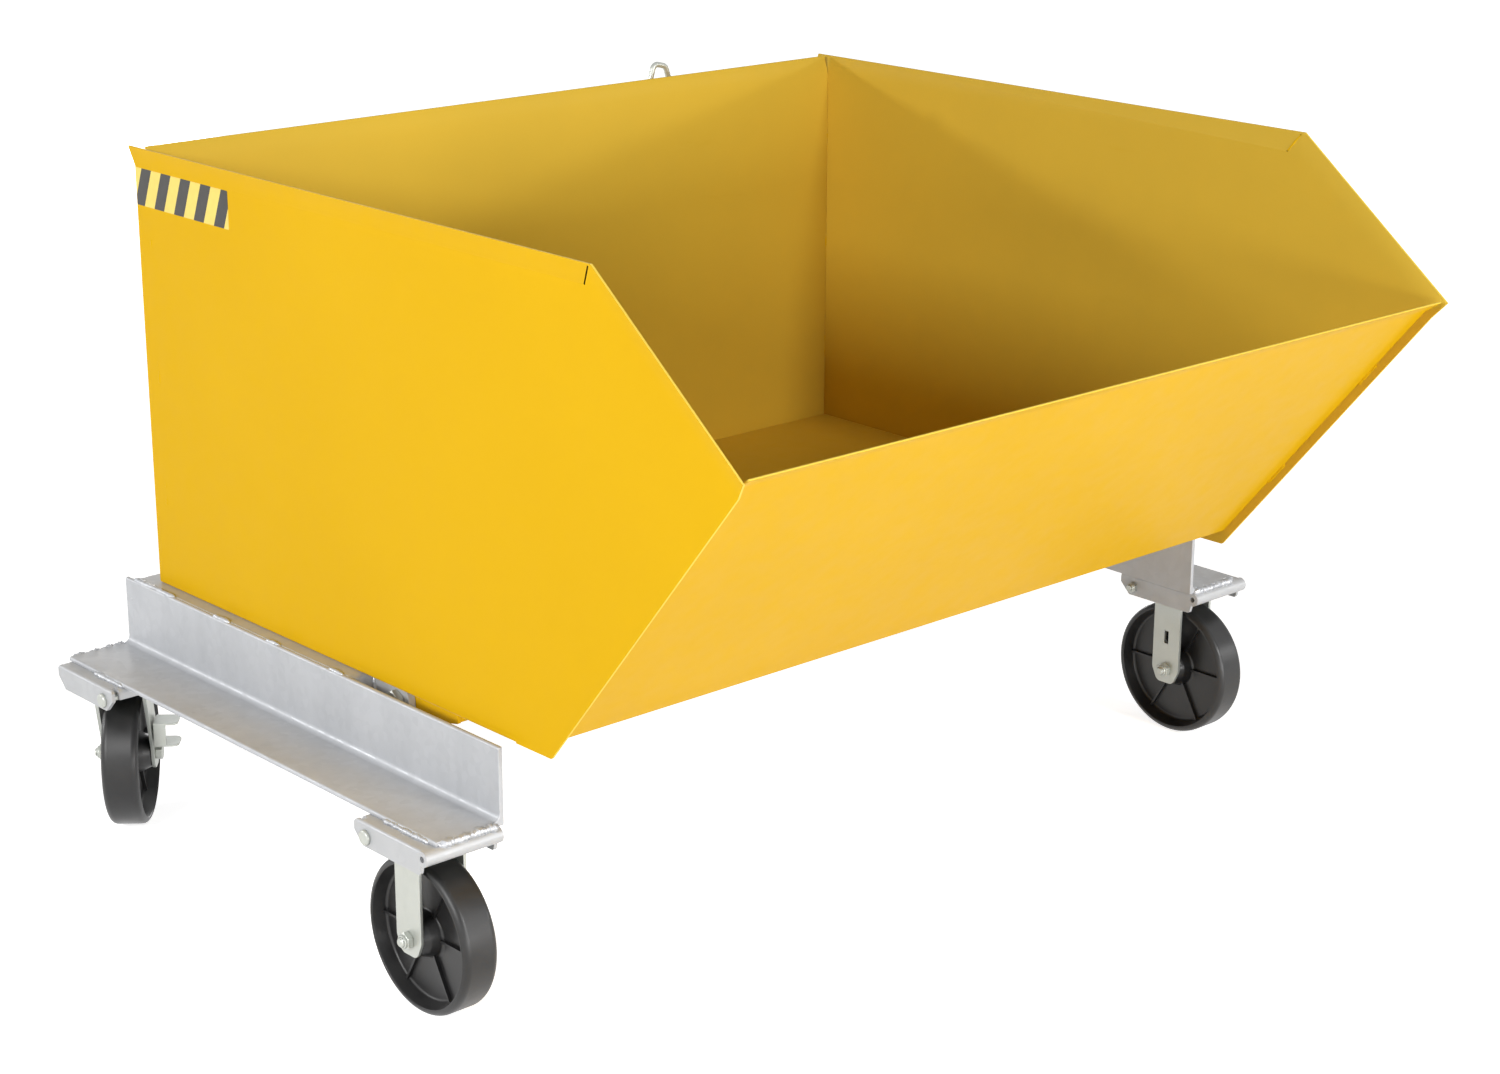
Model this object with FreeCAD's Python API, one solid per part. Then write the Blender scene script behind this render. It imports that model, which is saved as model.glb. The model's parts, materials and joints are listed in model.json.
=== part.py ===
import FreeCAD, Part
import math
import os

# Tipping skip trolley: a welded sheet-steel tub that tips forward on a galvanised
# base with two rigid front casters and two braked swivel casters at the back.
# Frame: X across the trolley, -Y towards the dumping lip, +Z up, floor at Z = 0,
# origin under the middle of the bounding box. Millimetres throughout.

# Casters and wheels
wheel_d = 203.2            # tread diameter
wheel_w = 50.8             # tread width
wheel_shoulder = 9.0       # round between tread and side face
wheel_edge_r = 2.5         # round on the rim's inner edge
wheel_hub_d = 52.0
wheel_hub_len = 60.0
wheel_hub_step = 5.0       # hub's end is this much smaller in radius
wheel_web_t = 12.0
wheel_rim_t = 9.0          # radial thickness of the rim at its edge
wheel_rim_draft = 6.0      # rim's inner wall leans in by this much
wheel_ribs = 6
wheel_rib_t = 3.2
wheel_rib_drop = 14.5      # rib height below the side face
wheel_clear = 10.3         # wheel to the underside of the swivel crown
top_plate_w = 101.6
top_plate_t = 6.0
fork_t = 4.8
fork_gap = 62.0            # clear width between the fork's legs
fork_leg_w = 50.0
fork_toe_w = 30.0          # width of a leg where its rounded lower end starts
fork_toe_drop = 21.0       # leg below the axle's centre
fork_toe_round = 0.7       # round of the toe's corners, of half its width
raked_leg_trim = 3.0       # a raked leg is narrower by this much on each side
fork_slot = (8.0, 20.0)    # rectangular slot in a rigid fork's inboard leg
fork_slot_rise = 52.0      # slot above the axle
axle_d = 12.7
sleeve_d = 19.0
axle_nut_af = 20.6
axle_nut_h = 11.0          # lock nut
axle_head_h = 9.0
caster_trail = 46.0        # swivel axis to axle
race_r = 37.0
race_t = 6.0
ball_d = 5.2
ball_clear = 0.2           # ball to race
ball_count = 16
ball_inset = 8.3           # ring of balls inside the race's edge
crown_t = 7.0
crown_front = 20.0         # crown bridge ahead of and behind the kingpin
crown_back = 26.0
kingpin_d = 13.0
kingpin_nut_af = 20.0
kingpin_nut_h = 8.0
left_swivel = -40.0        # rest angle of the left swivel caster about Z
right_swivel = 40.0

# Side brake of a swivel caster
brake_pivot_rise = 36.5    # brake pivot above the axle
brake_pivot_trail = 0.7    # brake pivot behind the swivel axis, of the caster's trail
brake_gap = 2.5            # fork's leg to the lever
brake_play = 0.3           # lever between its pin's shoulder and head
brake_pin_d = 10.0
brake_head_h = 3.0
brake_plate_t = 3.0
brake_tab_out = 31.0       # reach of the foot tabs
brake_tab_w = 36.0
brake_tab_r = 9.0          # rounded outer corners of the tabs
brake_tab_up = 17.5        # upper tab above the brake pivot
brake_tab_down = 17.5      # lower tab below the brake pivot
brake_web_out = 14.0       # web between the tabs, along their leading edge

# Slide-in caster pads under the rails
pad_slide = 1.2            # caster plate to a pad's turned-down side
pad_t = 6.4
pad_side_t = 5.0
pad_side_h = 32.0
pad_tube_d = 20.0          # rolled stop at the closed end
pad_tube_bore = 8.0
pad_closed = 63.0          # caster axis to the rolled stop's centre
pad_open = 76.5            # caster axis to the other end
pad_side_drop = 15.0       # upright part of a side's end
pad_side_slant = 17.0      # slant of a side's end below that
pad_stop_slant = 5.0       # slant of a side's end at an open rolled stop
pad_cover = 4.5            # sides' reach past the centre of a covered rolled stop
pad_corner_r = 7.0
pad_bend_r = 4.5           # bend between the top and a side
pad_end_h = 14.5           # turned-down end, measured from the pad's top
pad_notch = (7.0, 13.0)    # relief beside the turned-down end, across and along
pad_bolt_d = 9.5
pad_bolt_at = 52.0         # caster axis to the retaining bolt
pad_bolt_drop = 18.5       # bolt below the pad's top face
pad_bolt_head_d = 20.0
pad_bolt_head_h = 5.0
pad_bolt_round = 0.6       # round of the head's edge, of its height
pad_nut_af = 15.0
pad_nut_h = 8.0

# Base frame
rail_leg = 101.6           # equal-leg angle
rail_t = 6.35
rail_root_r = 9.5
rail_toe_r = 3.5
rail_side_gap = 18.5       # tub side to the rail's upright leg
rail_front = 802.0         # rail's front end, forward of the tub's back edge
rail_behind = 53.0         # rail's back end behind the tub's back edge
pad_centre_out = 64.5      # rail's inboard face to the caster's centre
front_axle_at = 738.0      # front axle, forward of the tub's back edge
rear_axis_at = 18.0        # swivel axis, forward of the tub's back edge
deck_behind = 40.0
deck_t = 5.0
deck_depth = 50.0          # turned-down back edge
cross_tube = 60.0          # square tube under the deck's front edge
cross_tube_t = 5.0
cross_tube_front = 480.0   # its front face, forward of the tub's back edge

# Tub
tub_w = 1248.0             # over the flat side plates
tub_t = 3.0
side_h = 614.0
kink_at = 969.0            # forward of the back edge
lip_at = 1218.7
lip_h = 418.0
tip_at = 873.0             # lower front corner of a side plate
tip_r = 5.0
flare = 9.0                # outward lean of the rim strips
strip_w = 28.0
slit_w = 2.2               # relief slit in the top strip, beside the kink
slit_foot = 12.4           # slit's foot behind the bend lines' corner
slit_head = 5.5            # slit's head behind the kink
slit_edge = 3.0            # slit's head below the rim
flange_w = 25.0            # turned-in foot of a side plate
flange_r = 4.0
flange_rise = 20.0
flange_end = 805.0
wall_inset = 30.0          # back wall inside the side plates' back edges
panel_inset = 12.0         # front panel behind the side plates' front edges
floor_lift = 21.0          # floor's underside above the side plates' feet
channel_front = 648.0
channel_w = 60.0
channel_d = 51.0
channel_t = 4.0
channel_bend = 1.0         # inner radius of the channel's bends

# Tipping pivot
pivot_at = 534.5           # forward of the tub's back edge
pivot_drop = 28.0          # pivot below the tub's feet
pivot_pin_d = 19.0
pivot_bush_d = 28.0
pivot_bush_len = 12.0
pivot_bush_collar = 4.0    # collar's width round the barrel
ear_t = 6.0
ear_boss_r = 22.0
ear_back = 30.0
lug_t = 10.0
lug_r = 25.5
lug_gap = 0.5              # between a lug and the tub's ear
lug_low = 4.0              # lug's lower edge above the cross tube's underside
lug_foot = 12.0            # lower edge's reach ahead of the deck's front
lug_corner_r = 14.0        # lug's lower front corner
channel_end_gap = 11.0     # side plate's foot to the ear
pivot_nut_af = 28.0
pivot_nut_h = 14.0
pivot_head_h = 10.0

# Tipping latch behind the back wall
latch_x = 277.0
latch_axis_behind = 10.0   # latch pin behind the tub's back edge
latch_axis_h = 120.0       # latch pin above the tub's feet
latch_pin_d = 10.0
latch_bar = (8.0, 14.0)    # flat shank, across and along
latch_shank_top = 24.0     # flat shank above the pin
latch_rod_d = 9.0
latch_rod_top = 18.0       # handle's top above the rim
latch_lean = 15.0          # sideways lean of the handle's top
latch_bend_drop = 34.0     # handle starts to lean this far below the rim
latch_end_drop = 12.0      # handle's hooked end below the rim
latch_crest_rise = 2.25    # crest's first bend above its top line
latch_hook_out = 23.4      # crest's second bend beside its first
latch_hook_fall = 3.6      # crest's second bend below its top line
latch_hook_end = 30.6      # hooked end beside the crest's first bend
latch_head_h = 4.0
latch_nose = 13.0          # hook's reach past the shank
latch_nose_h = 11.0
latch_nose_lift = 17.0     # hook's underside above the deck
latch_ear_t = 4.0
latch_ear_gap = 20.0
latch_ear_h = 44.0
latch_ear_r = 7.0
catch_bar_d = 10.0
catch_clear = 4.0          # released hook to catch bar, along
catch_gap = 3.6            # released hook to catch bar, upward
catch_plate_t = 6.0
catch_plate_gap = 30.0
catch_edge = 4.0           # plate round the catch bar
catch_round = 0.8          # round of the plate's corners, of its half width

# Small rounds and ends
small_r = 2.0              # rounds inside bends and on small corners
plate_r = 4.0              # rounded plate corners
tail = 3.0                 # end of a bolt or pin past its nut or ear
pin_head = 0.8             # radius of a pin's head or shoulder, of the pin's diameter
past = 1.0                 # drills and cutters run out by this much

# Clearances
fit = 0.05                 # pin in a fixed hole
run = 0.08                 # pin in a turning hole
end_gap = 0.5              # flat faces that pass each other

# Worked-out levels and places
wheel_r = wheel_d / 2
pad_w = top_plate_w + 2 * (pad_slide + pad_side_t)
crown_z = wheel_d + wheel_clear + crown_t
caster_h = crown_z + ball_d + 2 * ball_clear + race_t + top_plate_t
pad_top = caster_h + pad_t
rail_top = pad_top + rail_leg
tub_z = rail_top
rim_z = tub_z + side_h
half_w = tub_w / 2
rail_in = half_w + rail_side_gap
track = rail_in + pad_centre_out
leg_in = fork_gap / 2
leg_out = leg_in + fork_t
plate_low = caster_h - top_plate_t
pivot_z = tub_z - pivot_drop
ear_out = half_w - flange_w - channel_end_gap + ear_t
lug_in = ear_out + lug_gap
latch_z = tub_z + latch_axis_h


def wheel_reach(angle):
    """How far a swivelled wheel reaches behind its swivel axis."""
    turn = math.radians(abs(angle))
    core_r = wheel_r - wheel_shoulder
    core_w = wheel_w / 2 - wheel_shoulder
    return (caster_trail + core_r) * math.cos(turn) + core_w * math.sin(turn) + wheel_shoulder


rear_reach = max(wheel_reach(left_swivel), wheel_reach(right_swivel)) - rear_axis_at
back_y = (lip_at - rear_reach) / 2


def ahead(distance):
    """Y of a place that lies this far forward of the tub's back edge."""
    return back_y - distance


tube_low = rail_top - deck_t - cross_tube
tube_front = ahead(cross_tube_front)
deck_front = tube_front - deck_t
pivot_y = ahead(pivot_at)
front_axle_y = ahead(front_axle_at)
rear_axis_y = ahead(rear_axis_at)
latch_y = ahead(-latch_axis_behind)


# Drawing helpers

def box(x0, x1, y0, y1, z0, z1):
    return Part.makeBox(x1 - x0, y1 - y0, z1 - z0, FreeCAD.Vector(x0, y0, z0))


def rod(start, end, radius):
    a = FreeCAD.Vector(*start)
    b = FreeCAD.Vector(*end)
    return Part.makeCylinder(radius, a.distanceToPoint(b), a, b - a)


def drill(start, end, radius):
    """Round cutter that runs out past both ends of a hole."""
    a = FreeCAD.Vector(*start)
    b = FreeCAD.Vector(*end)
    out = (b - a).normalize() * past
    return rod(a - out, b + out, radius)


def outline(points, place):
    """Closed wire through (a, b) or (a, b, corner radius) points, placed in space."""
    count = len(points)
    edges = []
    ends = []
    for i in range(count):
        here = FreeCAD.Vector(points[i][0], points[i][1], 0)
        radius = points[i][2] if len(points[i]) > 2 else 0
        if radius <= 0:
            ends.append((here, here, None))
            continue
        before = FreeCAD.Vector(points[i - 1][0], points[i - 1][1], 0) - here
        after = FreeCAD.Vector(points[(i + 1) % count][0], points[(i + 1) % count][1], 0) - here
        before.normalize()
        after.normalize()
        half = before.getAngle(after) / 2
        reach = radius / math.tan(half)
        inward = before + after
        inward.normalize()
        middle = here + inward * (radius / math.sin(half) - radius)
        ends.append((here + before * reach, here + after * reach, middle))
    for i in range(count):
        start, finish, middle = ends[i]
        if middle is not None:
            arc = [place(p.x, p.y) for p in (start, middle, finish)]
            edges.append(Part.Arc(*arc).toShape())
        a = place(finish.x, finish.y)
        b = place(ends[(i + 1) % count][0].x, ends[(i + 1) % count][0].y)
        if a.distanceToPoint(b) > 1e-6:
            edges.append(Part.LineSegment(a, b).toShape())
    return Part.Wire(edges)


def plate_x(points, x0, x1):
    """Plate with a (y, z) outline, from x0 to x1."""
    wire = outline(points, lambda a, b: FreeCAD.Vector(x0, a, b))
    return Part.Face(wire).extrude(FreeCAD.Vector(x1 - x0, 0, 0))


def plate_y(points, y0, y1):
    """Plate with an (x, z) outline, from y0 to y1."""
    wire = outline(points, lambda a, b: FreeCAD.Vector(a, y0, b))
    return Part.Face(wire).extrude(FreeCAD.Vector(0, y1 - y0, 0))


def plate_z(points, z0, z1):
    """Plate with an (x, y) outline, from z0 to z1."""
    wire = outline(points, lambda a, b: FreeCAD.Vector(a, b, z0))
    return Part.Face(wire).extrude(FreeCAD.Vector(0, 0, z1 - z0))


def tub_plate_x(points, x0, x1):
    """Plate whose outline is given as (forward of the back edge, above the feet)."""
    turned = [(ahead(p[0]), tub_z + p[1]) + tuple(p[2:]) for p in points]
    return plate_x(turned, x0, x1)


def hexagon(across_flats, start, end):
    """Hexagonal prism between two points on one axis."""
    a = FreeCAD.Vector(*start)
    axis = FreeCAD.Vector(*end) - a
    side = FreeCAD.Vector(0, 0, 1) if abs(axis.z) < 1e-6 else FreeCAD.Vector(1, 0, 0)
    corner = side * (across_flats / math.sqrt(3))
    turn = FreeCAD.Rotation(axis, 60)
    corners = [a + corner]
    for _ in range(6):
        corner = turn.multVec(corner)
        corners.append(a + corner)
    return Part.Face(Part.makePolygon(corners)).extrude(axis)


def fused(shapes):
    whole = shapes[0].multiFuse(shapes[1:]) if len(shapes) > 1 else shapes[0]
    return whole.removeSplitter()


def mirrored(shape):
    """Twin on the other side of the trolley."""
    return shape.mirror(FreeCAD.Vector(0, 0, 0), FreeCAD.Vector(1, 0, 0))


def turned_back(shape, y):
    """Twin that faces the other way along Y, about the given Y."""
    return shape.mirror(FreeCAD.Vector(0, y, 0), FreeCAD.Vector(0, 1, 0))


def moved(shape, x, y, angle=0.0):
    """Copy of a caster piece, turned about its own Z and set on its place."""
    copy = shape.copy()
    copy.rotate(FreeCAD.Vector(0, 0, 0), FreeCAD.Vector(0, 0, 1), angle)
    copy.translate(FreeCAD.Vector(x, y, 0))
    return copy


made = {}


def keep(node, shapes):
    """Write one named piece, or a group of separate identical pieces."""
    group = shapes if isinstance(shapes, list) else [shapes]
    solids = [solid for shape in group for solid in shape.Solids]
    whole = solids[0] if len(solids) == 1 else Part.makeCompound(solids)
    if not whole.isValid():
        raise ValueError(node + " is not a valid solid")
    whole.exportStep("parts/" + node + ".step")
    made[node] = whole


# Wheels and casters, drawn about the caster's own axis with the floor at Z = 0

def make_wheel(axle_y):
    """Moulded wheel: tread, stepped rim, web, hub and ribs on both faces."""
    half = wheel_w / 2
    bore_r = sleeve_d / 2 + run
    hub_x = wheel_hub_len / 2
    hub_r = wheel_hub_d / 2
    web = wheel_web_t / 2
    rim_in = wheel_r - wheel_rim_t
    right = [(hub_x, bore_r), (hub_x, hub_r - wheel_hub_step, small_r),
             (half - wheel_hub_step, hub_r, small_r), (web, hub_r + wheel_hub_step, plate_r),
             (web, rim_in - wheel_rim_draft, plate_r), (half, rim_in, wheel_edge_r),
             (half, wheel_r, wheel_shoulder)]
    left = [(-p[0],) + p[1:] for p in reversed(right)]
    profile = right + left
    wire = outline(profile, lambda a, b: FreeCAD.Vector(a, axle_y, wheel_r + b))
    centre = FreeCAD.Vector(0, axle_y, wheel_r)
    along_x = FreeCAD.Vector(1, 0, 0)
    pieces = [Part.Face(wire).revolve(centre, along_x, 360)]
    rib_x = half - wheel_rib_drop
    for i in range(wheel_ribs):
        rib = box(-rib_x, rib_x, axle_y - wheel_rib_t / 2, axle_y + wheel_rib_t / 2,
                  wheel_r + hub_r - wheel_hub_step / 2, wheel_r + rim_in - wheel_rim_draft / 2)
        rib.rotate(centre, along_x, 360 * (i + 0.5) / wheel_ribs)
        pieces.append(rib)
    return fused(pieces)


def make_axle(axle_y):
    """Axle bolt, its nut and the spacer sleeve that the wheel turns on."""
    z = wheel_r
    head_x = leg_out + axle_head_h
    nut_x = leg_out + axle_nut_h
    bolt = fused([rod((-nut_x - tail, axle_y, z), (leg_out, axle_y, z), axle_d / 2),
                  hexagon(axle_nut_af, (leg_out, axle_y, z), (head_x, axle_y, z))])
    nut = hexagon(axle_nut_af, (-nut_x, axle_y, z), (-leg_out, axle_y, z))
    nut = nut.cut(drill((-nut_x, axle_y, z), (-leg_out, axle_y, z), axle_d / 2 + fit))
    sleeve = rod((-leg_in, axle_y, z), (leg_in, axle_y, z), sleeve_d / 2)
    sleeve = sleeve.cut(drill((-leg_in, axle_y, z), (leg_in, axle_y, z), axle_d / 2 + fit))
    return bolt, nut, sleeve


def axle_hole(axle_y):
    return drill((-leg_out, axle_y, wheel_r), (leg_out, axle_y, wheel_r), axle_d / 2 + fit)


def make_top_plate():
    """Caster plate that slides between the pad's turned-down sides."""
    back = pad_bolt_at - pad_bolt_d / 2 - end_gap
    front = -(pad_closed - pad_tube_d / 2 - end_gap)
    return box(-top_plate_w / 2, top_plate_w / 2, front, back, plate_low, caster_h)


def make_rigid_fork():
    """Plate with two straight legs; the inboard leg has a small slot. Inboard is +X."""
    half = fork_leg_w / 2
    toe = fork_toe_w / 2
    low = wheel_r - fork_toe_drop
    round_r = toe * fork_toe_round
    leg = [(-half, plate_low), (half, plate_low), (half, wheel_r, toe), (toe, low, round_r),
           (-toe, low, round_r), (-half, wheel_r, toe)]
    fork = fused([make_top_plate(), plate_x(leg, -leg_out, -leg_in), plate_x(leg, leg_in, leg_out)])
    slot_z = wheel_r + fork_slot_rise
    slot = box(leg_in - past, leg_out + past, -fork_slot[0] / 2, fork_slot[0] / 2,
               slot_z - fork_slot[1] / 2, slot_z + fork_slot[1] / 2)
    return fork.cut(axle_hole(0)).cut(slot)


def make_swivel_top():
    """Swivel caster's plate with its upper ball race and kingpin hole."""
    race = rod((0, 0, plate_low - race_t), (0, 0, plate_low), race_r)
    hole = drill((0, 0, plate_low - race_t), (0, 0, caster_h), kingpin_d / 2 + fit)
    return fused([make_top_plate(), race]).cut(hole)


def make_kingpin():
    nut_top = crown_z - crown_t - end_gap
    return rod((0, 0, nut_top - kingpin_nut_h - tail), (0, 0, caster_h - end_gap), kingpin_d / 2)


def make_kingpin_nut():
    nut_top = crown_z - crown_t - end_gap
    nut = hexagon(kingpin_nut_af, (0, 0, nut_top - kingpin_nut_h), (0, 0, nut_top))
    return nut.cut(drill((0, 0, nut_top - kingpin_nut_h), (0, 0, nut_top), kingpin_d / 2 + fit))


def make_balls():
    """Ring of balls between the plate's race and the crown."""
    level = (crown_z + plate_low - race_t) / 2
    ring = race_r - ball_inset
    balls = []
    for i in range(ball_count):
        turn = 2 * math.pi * i / ball_count
        centre = FreeCAD.Vector(ring * math.cos(turn), ring * math.sin(turn), level)
        balls.append(Part.makeSphere(ball_d / 2, centre))
    return balls


def make_swivel_fork():
    """Crown and two raked legs that carry the axle behind the swivel axis."""
    y = caster_trail
    low = wheel_r - fork_toe_drop
    toe = fork_toe_w / 2
    round_r = toe * fork_toe_round
    half = fork_leg_w / 2 - raked_leg_trim
    leg = [(-crown_front, crown_z), (crown_back, crown_z), (y + half, wheel_r + toe, toe),
           (y + toe, low, round_r), (y - toe, low, round_r), (y - half, wheel_r + toe, toe)]
    crown = rod((0, 0, crown_z - crown_t), (0, 0, crown_z), race_r)
    bridge = box(-leg_out, leg_out, -crown_front, crown_back, crown_z - crown_t, crown_z)
    fork = fused([crown, bridge, plate_x(leg, -leg_out, -leg_in), plate_x(leg, leg_in, leg_out)])
    pin_hole = drill((0, 0, crown_z - crown_t), (0, 0, crown_z), kingpin_d / 2 + run)
    return fork.cut(axle_hole(y)).cut(pin_hole)


brake_y = caster_trail * brake_pivot_trail
brake_z = wheel_r + brake_pivot_rise
brake_x = leg_out + brake_gap


def make_brake_pin():
    """Shouldered pin on the fork's leg with a head that keeps the lever on."""
    shoulder_x = brake_x - brake_play
    head_x = brake_x + brake_plate_t + brake_play
    wide_r = brake_pin_d * pin_head
    return fused([rod((leg_out, brake_y, brake_z), (shoulder_x, brake_y, brake_z), wide_r),
                  rod((leg_out, brake_y, brake_z), (head_x, brake_y, brake_z), brake_pin_d / 2),
                  rod((head_x, brake_y, brake_z), (head_x + brake_head_h, brake_y, brake_z), wide_r)])


def make_brake_lever():
    """Stamped rocker: a plate on the pin, a foot tab above and below, a web between them."""
    t = brake_plate_t
    up = brake_z + brake_tab_up
    down = brake_z - brake_tab_down
    x0 = brake_x
    x1 = x0 + t
    end = x1 + brake_tab_out
    y0 = brake_y - brake_tab_w / 2
    y1 = brake_y + brake_tab_w / 2
    foot = [(x0, y0), (end, y0, brake_tab_r), (end, y1, brake_tab_r), (x0, y1)]
    lever = fused([box(x0, x1, y0, y1, down, up), plate_z(foot, up - t, up), plate_z(foot, down, down + t),
                   box(x0, x1 + brake_web_out, y0, y0 + t, down, up)])
    return lever.cut(drill((x0, brake_y, brake_z), (x1, brake_y, brake_z), brake_pin_d / 2 + run))


# Slide-in pads, drawn about the caster's axis with the closed end towards -Y, outboard is -X

def make_pad(covered):
    """Bent plate with turned-down sides, a turned-down end and a rolled stop at the other end.

    The rolled stop's ends are open, or covered by the sides.
    """
    half = pad_w / 2
    inner = half - pad_side_t
    tube_r = pad_tube_d / 2
    tube_z = pad_top - tube_r
    low = pad_top - pad_side_h
    under = pad_top - pad_t
    step = pad_top - pad_side_drop
    if covered:
        end = -pad_closed - pad_cover
        closed_end = [(end + pad_side_slant, low, plate_r), (end, step), (end, pad_top, plate_r)]
    else:
        end = -pad_closed
        closed_end = [(end + pad_stop_slant, low, plate_r), (end, tube_z), (end, pad_top)]
    side = [(pad_open, pad_top, pad_corner_r), (pad_open, step), (pad_open - pad_side_slant, low, plate_r)]
    side = side + closed_end
    bent = [(-half, low), (-half, pad_top, pad_bend_r), (half, pad_top, pad_bend_r), (half, low),
            (inner, low), (inner, under), (-inner, under), (-inner, low)]
    root = pad_open - pad_notch[1]
    turned_end = [(root, pad_top), (pad_open, pad_top, pad_corner_r), (pad_open, pad_top - pad_end_h),
                  (pad_open - pad_t, pad_top - pad_end_h), (pad_open - pad_t, under), (root, under)]
    shell = plate_y(bent, end, pad_open).common(plate_x(side, -half, half))
    for x in (-inner, inner - pad_notch[0]):
        shell = shell.cut(box(x, x + pad_notch[0], root, pad_open + past, low, pad_top + past))
    if covered:
        shell = shell.cut(box(-inner, inner, end - past, -pad_closed, low, pad_top + past))
    stop_x = inner if covered else half
    pad = fused([shell, plate_x(turned_end, -inner + pad_notch[0], inner - pad_notch[0]),
                 rod((-stop_x, -pad_closed, tube_z), (stop_x, -pad_closed, tube_z), tube_r)])
    if not covered:
        pad = pad.cut(drill((-half, -pad_closed, tube_z), (half, -pad_closed, tube_z), pad_tube_bore / 2))
    bolt_z = pad_top - pad_bolt_drop
    return pad.cut(drill((-half, pad_bolt_at, bolt_z), (half, pad_bolt_at, bolt_z), pad_bolt_d / 2 + fit))


def make_pad_bolt():
    """Round-headed retaining bolt, head outboard."""
    half = pad_w / 2
    z = pad_top - pad_bolt_drop
    y = pad_bolt_at
    head = rod((-half - pad_bolt_head_h, y, z), (-half, y, z), pad_bolt_head_d / 2)
    rim = [e for e in head.Edges if abs(e.BoundBox.XMax + half + pad_bolt_head_h) < 1e-6]
    head = head.makeFillet(pad_bolt_head_h * pad_bolt_round, [e for e in rim if e.isClosed()])
    return fused([head, rod((-half, y, z), (half + pad_nut_h + tail, y, z), pad_bolt_d / 2)])


def make_pad_nut():
    half = pad_w / 2
    z = pad_top - pad_bolt_drop
    y = pad_bolt_at
    nut = hexagon(pad_nut_af, (half, y, z), (half + pad_nut_h, y, z))
    return nut.cut(drill((half, y, z), (half + pad_nut_h, y, z), pad_bolt_d / 2 + fit))


# Base frame

def make_rail():
    """Right-hand angle: upright leg inboard, flat leg outboard over the casters."""
    x = rail_in
    z = pad_top
    section = [(x, z), (x + rail_leg, z), (x + rail_leg, z + rail_t, rail_toe_r),
               (x + rail_t, z + rail_t, rail_root_r), (x + rail_t, z + rail_leg, rail_toe_r),
               (x, z + rail_leg)]
    return plate_y(section, ahead(rail_front), ahead(-rail_behind))


def make_deck():
    """Rear deck plate, flush with the rails' top; its front edge turns down over the cross tube."""
    back = ahead(-deck_behind)
    low = rail_top - deck_depth
    under = rail_top - deck_t
    bend = deck_t + small_r
    section = [(back, low), (back, rail_top, bend), (deck_front, rail_top, bend), (deck_front, tube_low),
               (tube_front, tube_low), (tube_front, under), (back - deck_t, under, small_r),
               (back - deck_t, low)]
    return plate_x(section, -rail_in, rail_in)


def make_cross_tube():
    """Square tube between the rails, under the deck's front edge."""
    t = cross_tube_t
    outer = box(-rail_in, rail_in, tube_front, tube_front + cross_tube, tube_low, tube_low + cross_tube)
    inner = box(-rail_in - past, rail_in + past, tube_front + t, tube_front + cross_tube - t,
                tube_low + t, tube_low + cross_tube - t)
    return outer.cut(inner)


def make_lug():
    """Right-hand pivot lug, welded to the deck's front edge over the cross tube."""
    front = pivot_y - lug_r
    top = pivot_z + lug_r
    low = tube_low + lug_low
    shape = [(deck_front, low), (deck_front, top, plate_r), (front, top, lug_r),
             (front, pivot_z - lug_r, lug_corner_r), (deck_front - lug_foot, low, plate_r)]
    lug_out = lug_in + lug_t
    hole = drill((lug_in, pivot_y, pivot_z), (lug_out, pivot_y, pivot_z), pivot_pin_d / 2 + fit)
    return plate_x(shape, lug_in, lug_out).cut(hole)


bush_in = ear_out - ear_t - (pivot_bush_len - ear_t)


def make_pivot_pin():
    """Right-hand pivot bolt: head outboard of the lug, thread inboard of the bush."""
    head_in = lug_in + lug_t
    end = bush_in - end_gap - pivot_nut_h - tail
    head_out = head_in + pivot_head_h
    return fused([rod((end, pivot_y, pivot_z), (head_in, pivot_y, pivot_z), pivot_pin_d / 2),
                  hexagon(pivot_nut_af, (head_in, pivot_y, pivot_z), (head_out, pivot_y, pivot_z))])


def make_pivot_nut():
    outer = bush_in - end_gap
    nut = hexagon(pivot_nut_af, (outer - pivot_nut_h, pivot_y, pivot_z), (outer, pivot_y, pivot_z))
    bore = drill((outer - pivot_nut_h, pivot_y, pivot_z), (outer, pivot_y, pivot_z), pivot_pin_d / 2 + fit)
    return nut.cut(bore)


nose_y = latch_y - latch_bar[1] / 2 - latch_nose
catch_y = nose_y - catch_clear - catch_bar_d / 2
catch_z = rail_top + latch_nose_lift + latch_nose_h + catch_gap + catch_bar_d / 2


def make_catch():
    """Catch for the latch hook: a round bar between two plates on the deck."""
    half = catch_plate_gap / 2
    reach = catch_bar_d / 2 + catch_edge
    corner = reach * catch_round
    plate = [(catch_y - reach, rail_top), (catch_y + reach, rail_top),
             (catch_y + reach, catch_z + reach, corner), (catch_y - reach, catch_z + reach, corner)]
    pieces = [plate_x(plate, latch_x - half - catch_plate_t, latch_x - half),
              plate_x(plate, latch_x + half, latch_x + half + catch_plate_t),
              rod((latch_x - half, catch_y, catch_z), (latch_x + half, catch_y, catch_z), catch_bar_d / 2)]
    return fused(pieces)


# Tub

def crossing(p, d, q, e):
    """Where the line from p along d meets the line from q along e, in one plane."""
    along = ((q[0] - p[0]) * e[1] - (q[1] - p[1]) * e[0]) / (d[0] * e[1] - d[1] * e[0])
    return (p[0] + d[0] * along, p[1] + d[1] * along)


def unit(a, b):
    length = math.hypot(b[0] - a[0], b[1] - a[1])
    return ((b[0] - a[0]) / length, (b[1] - a[1]) / length)


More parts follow.
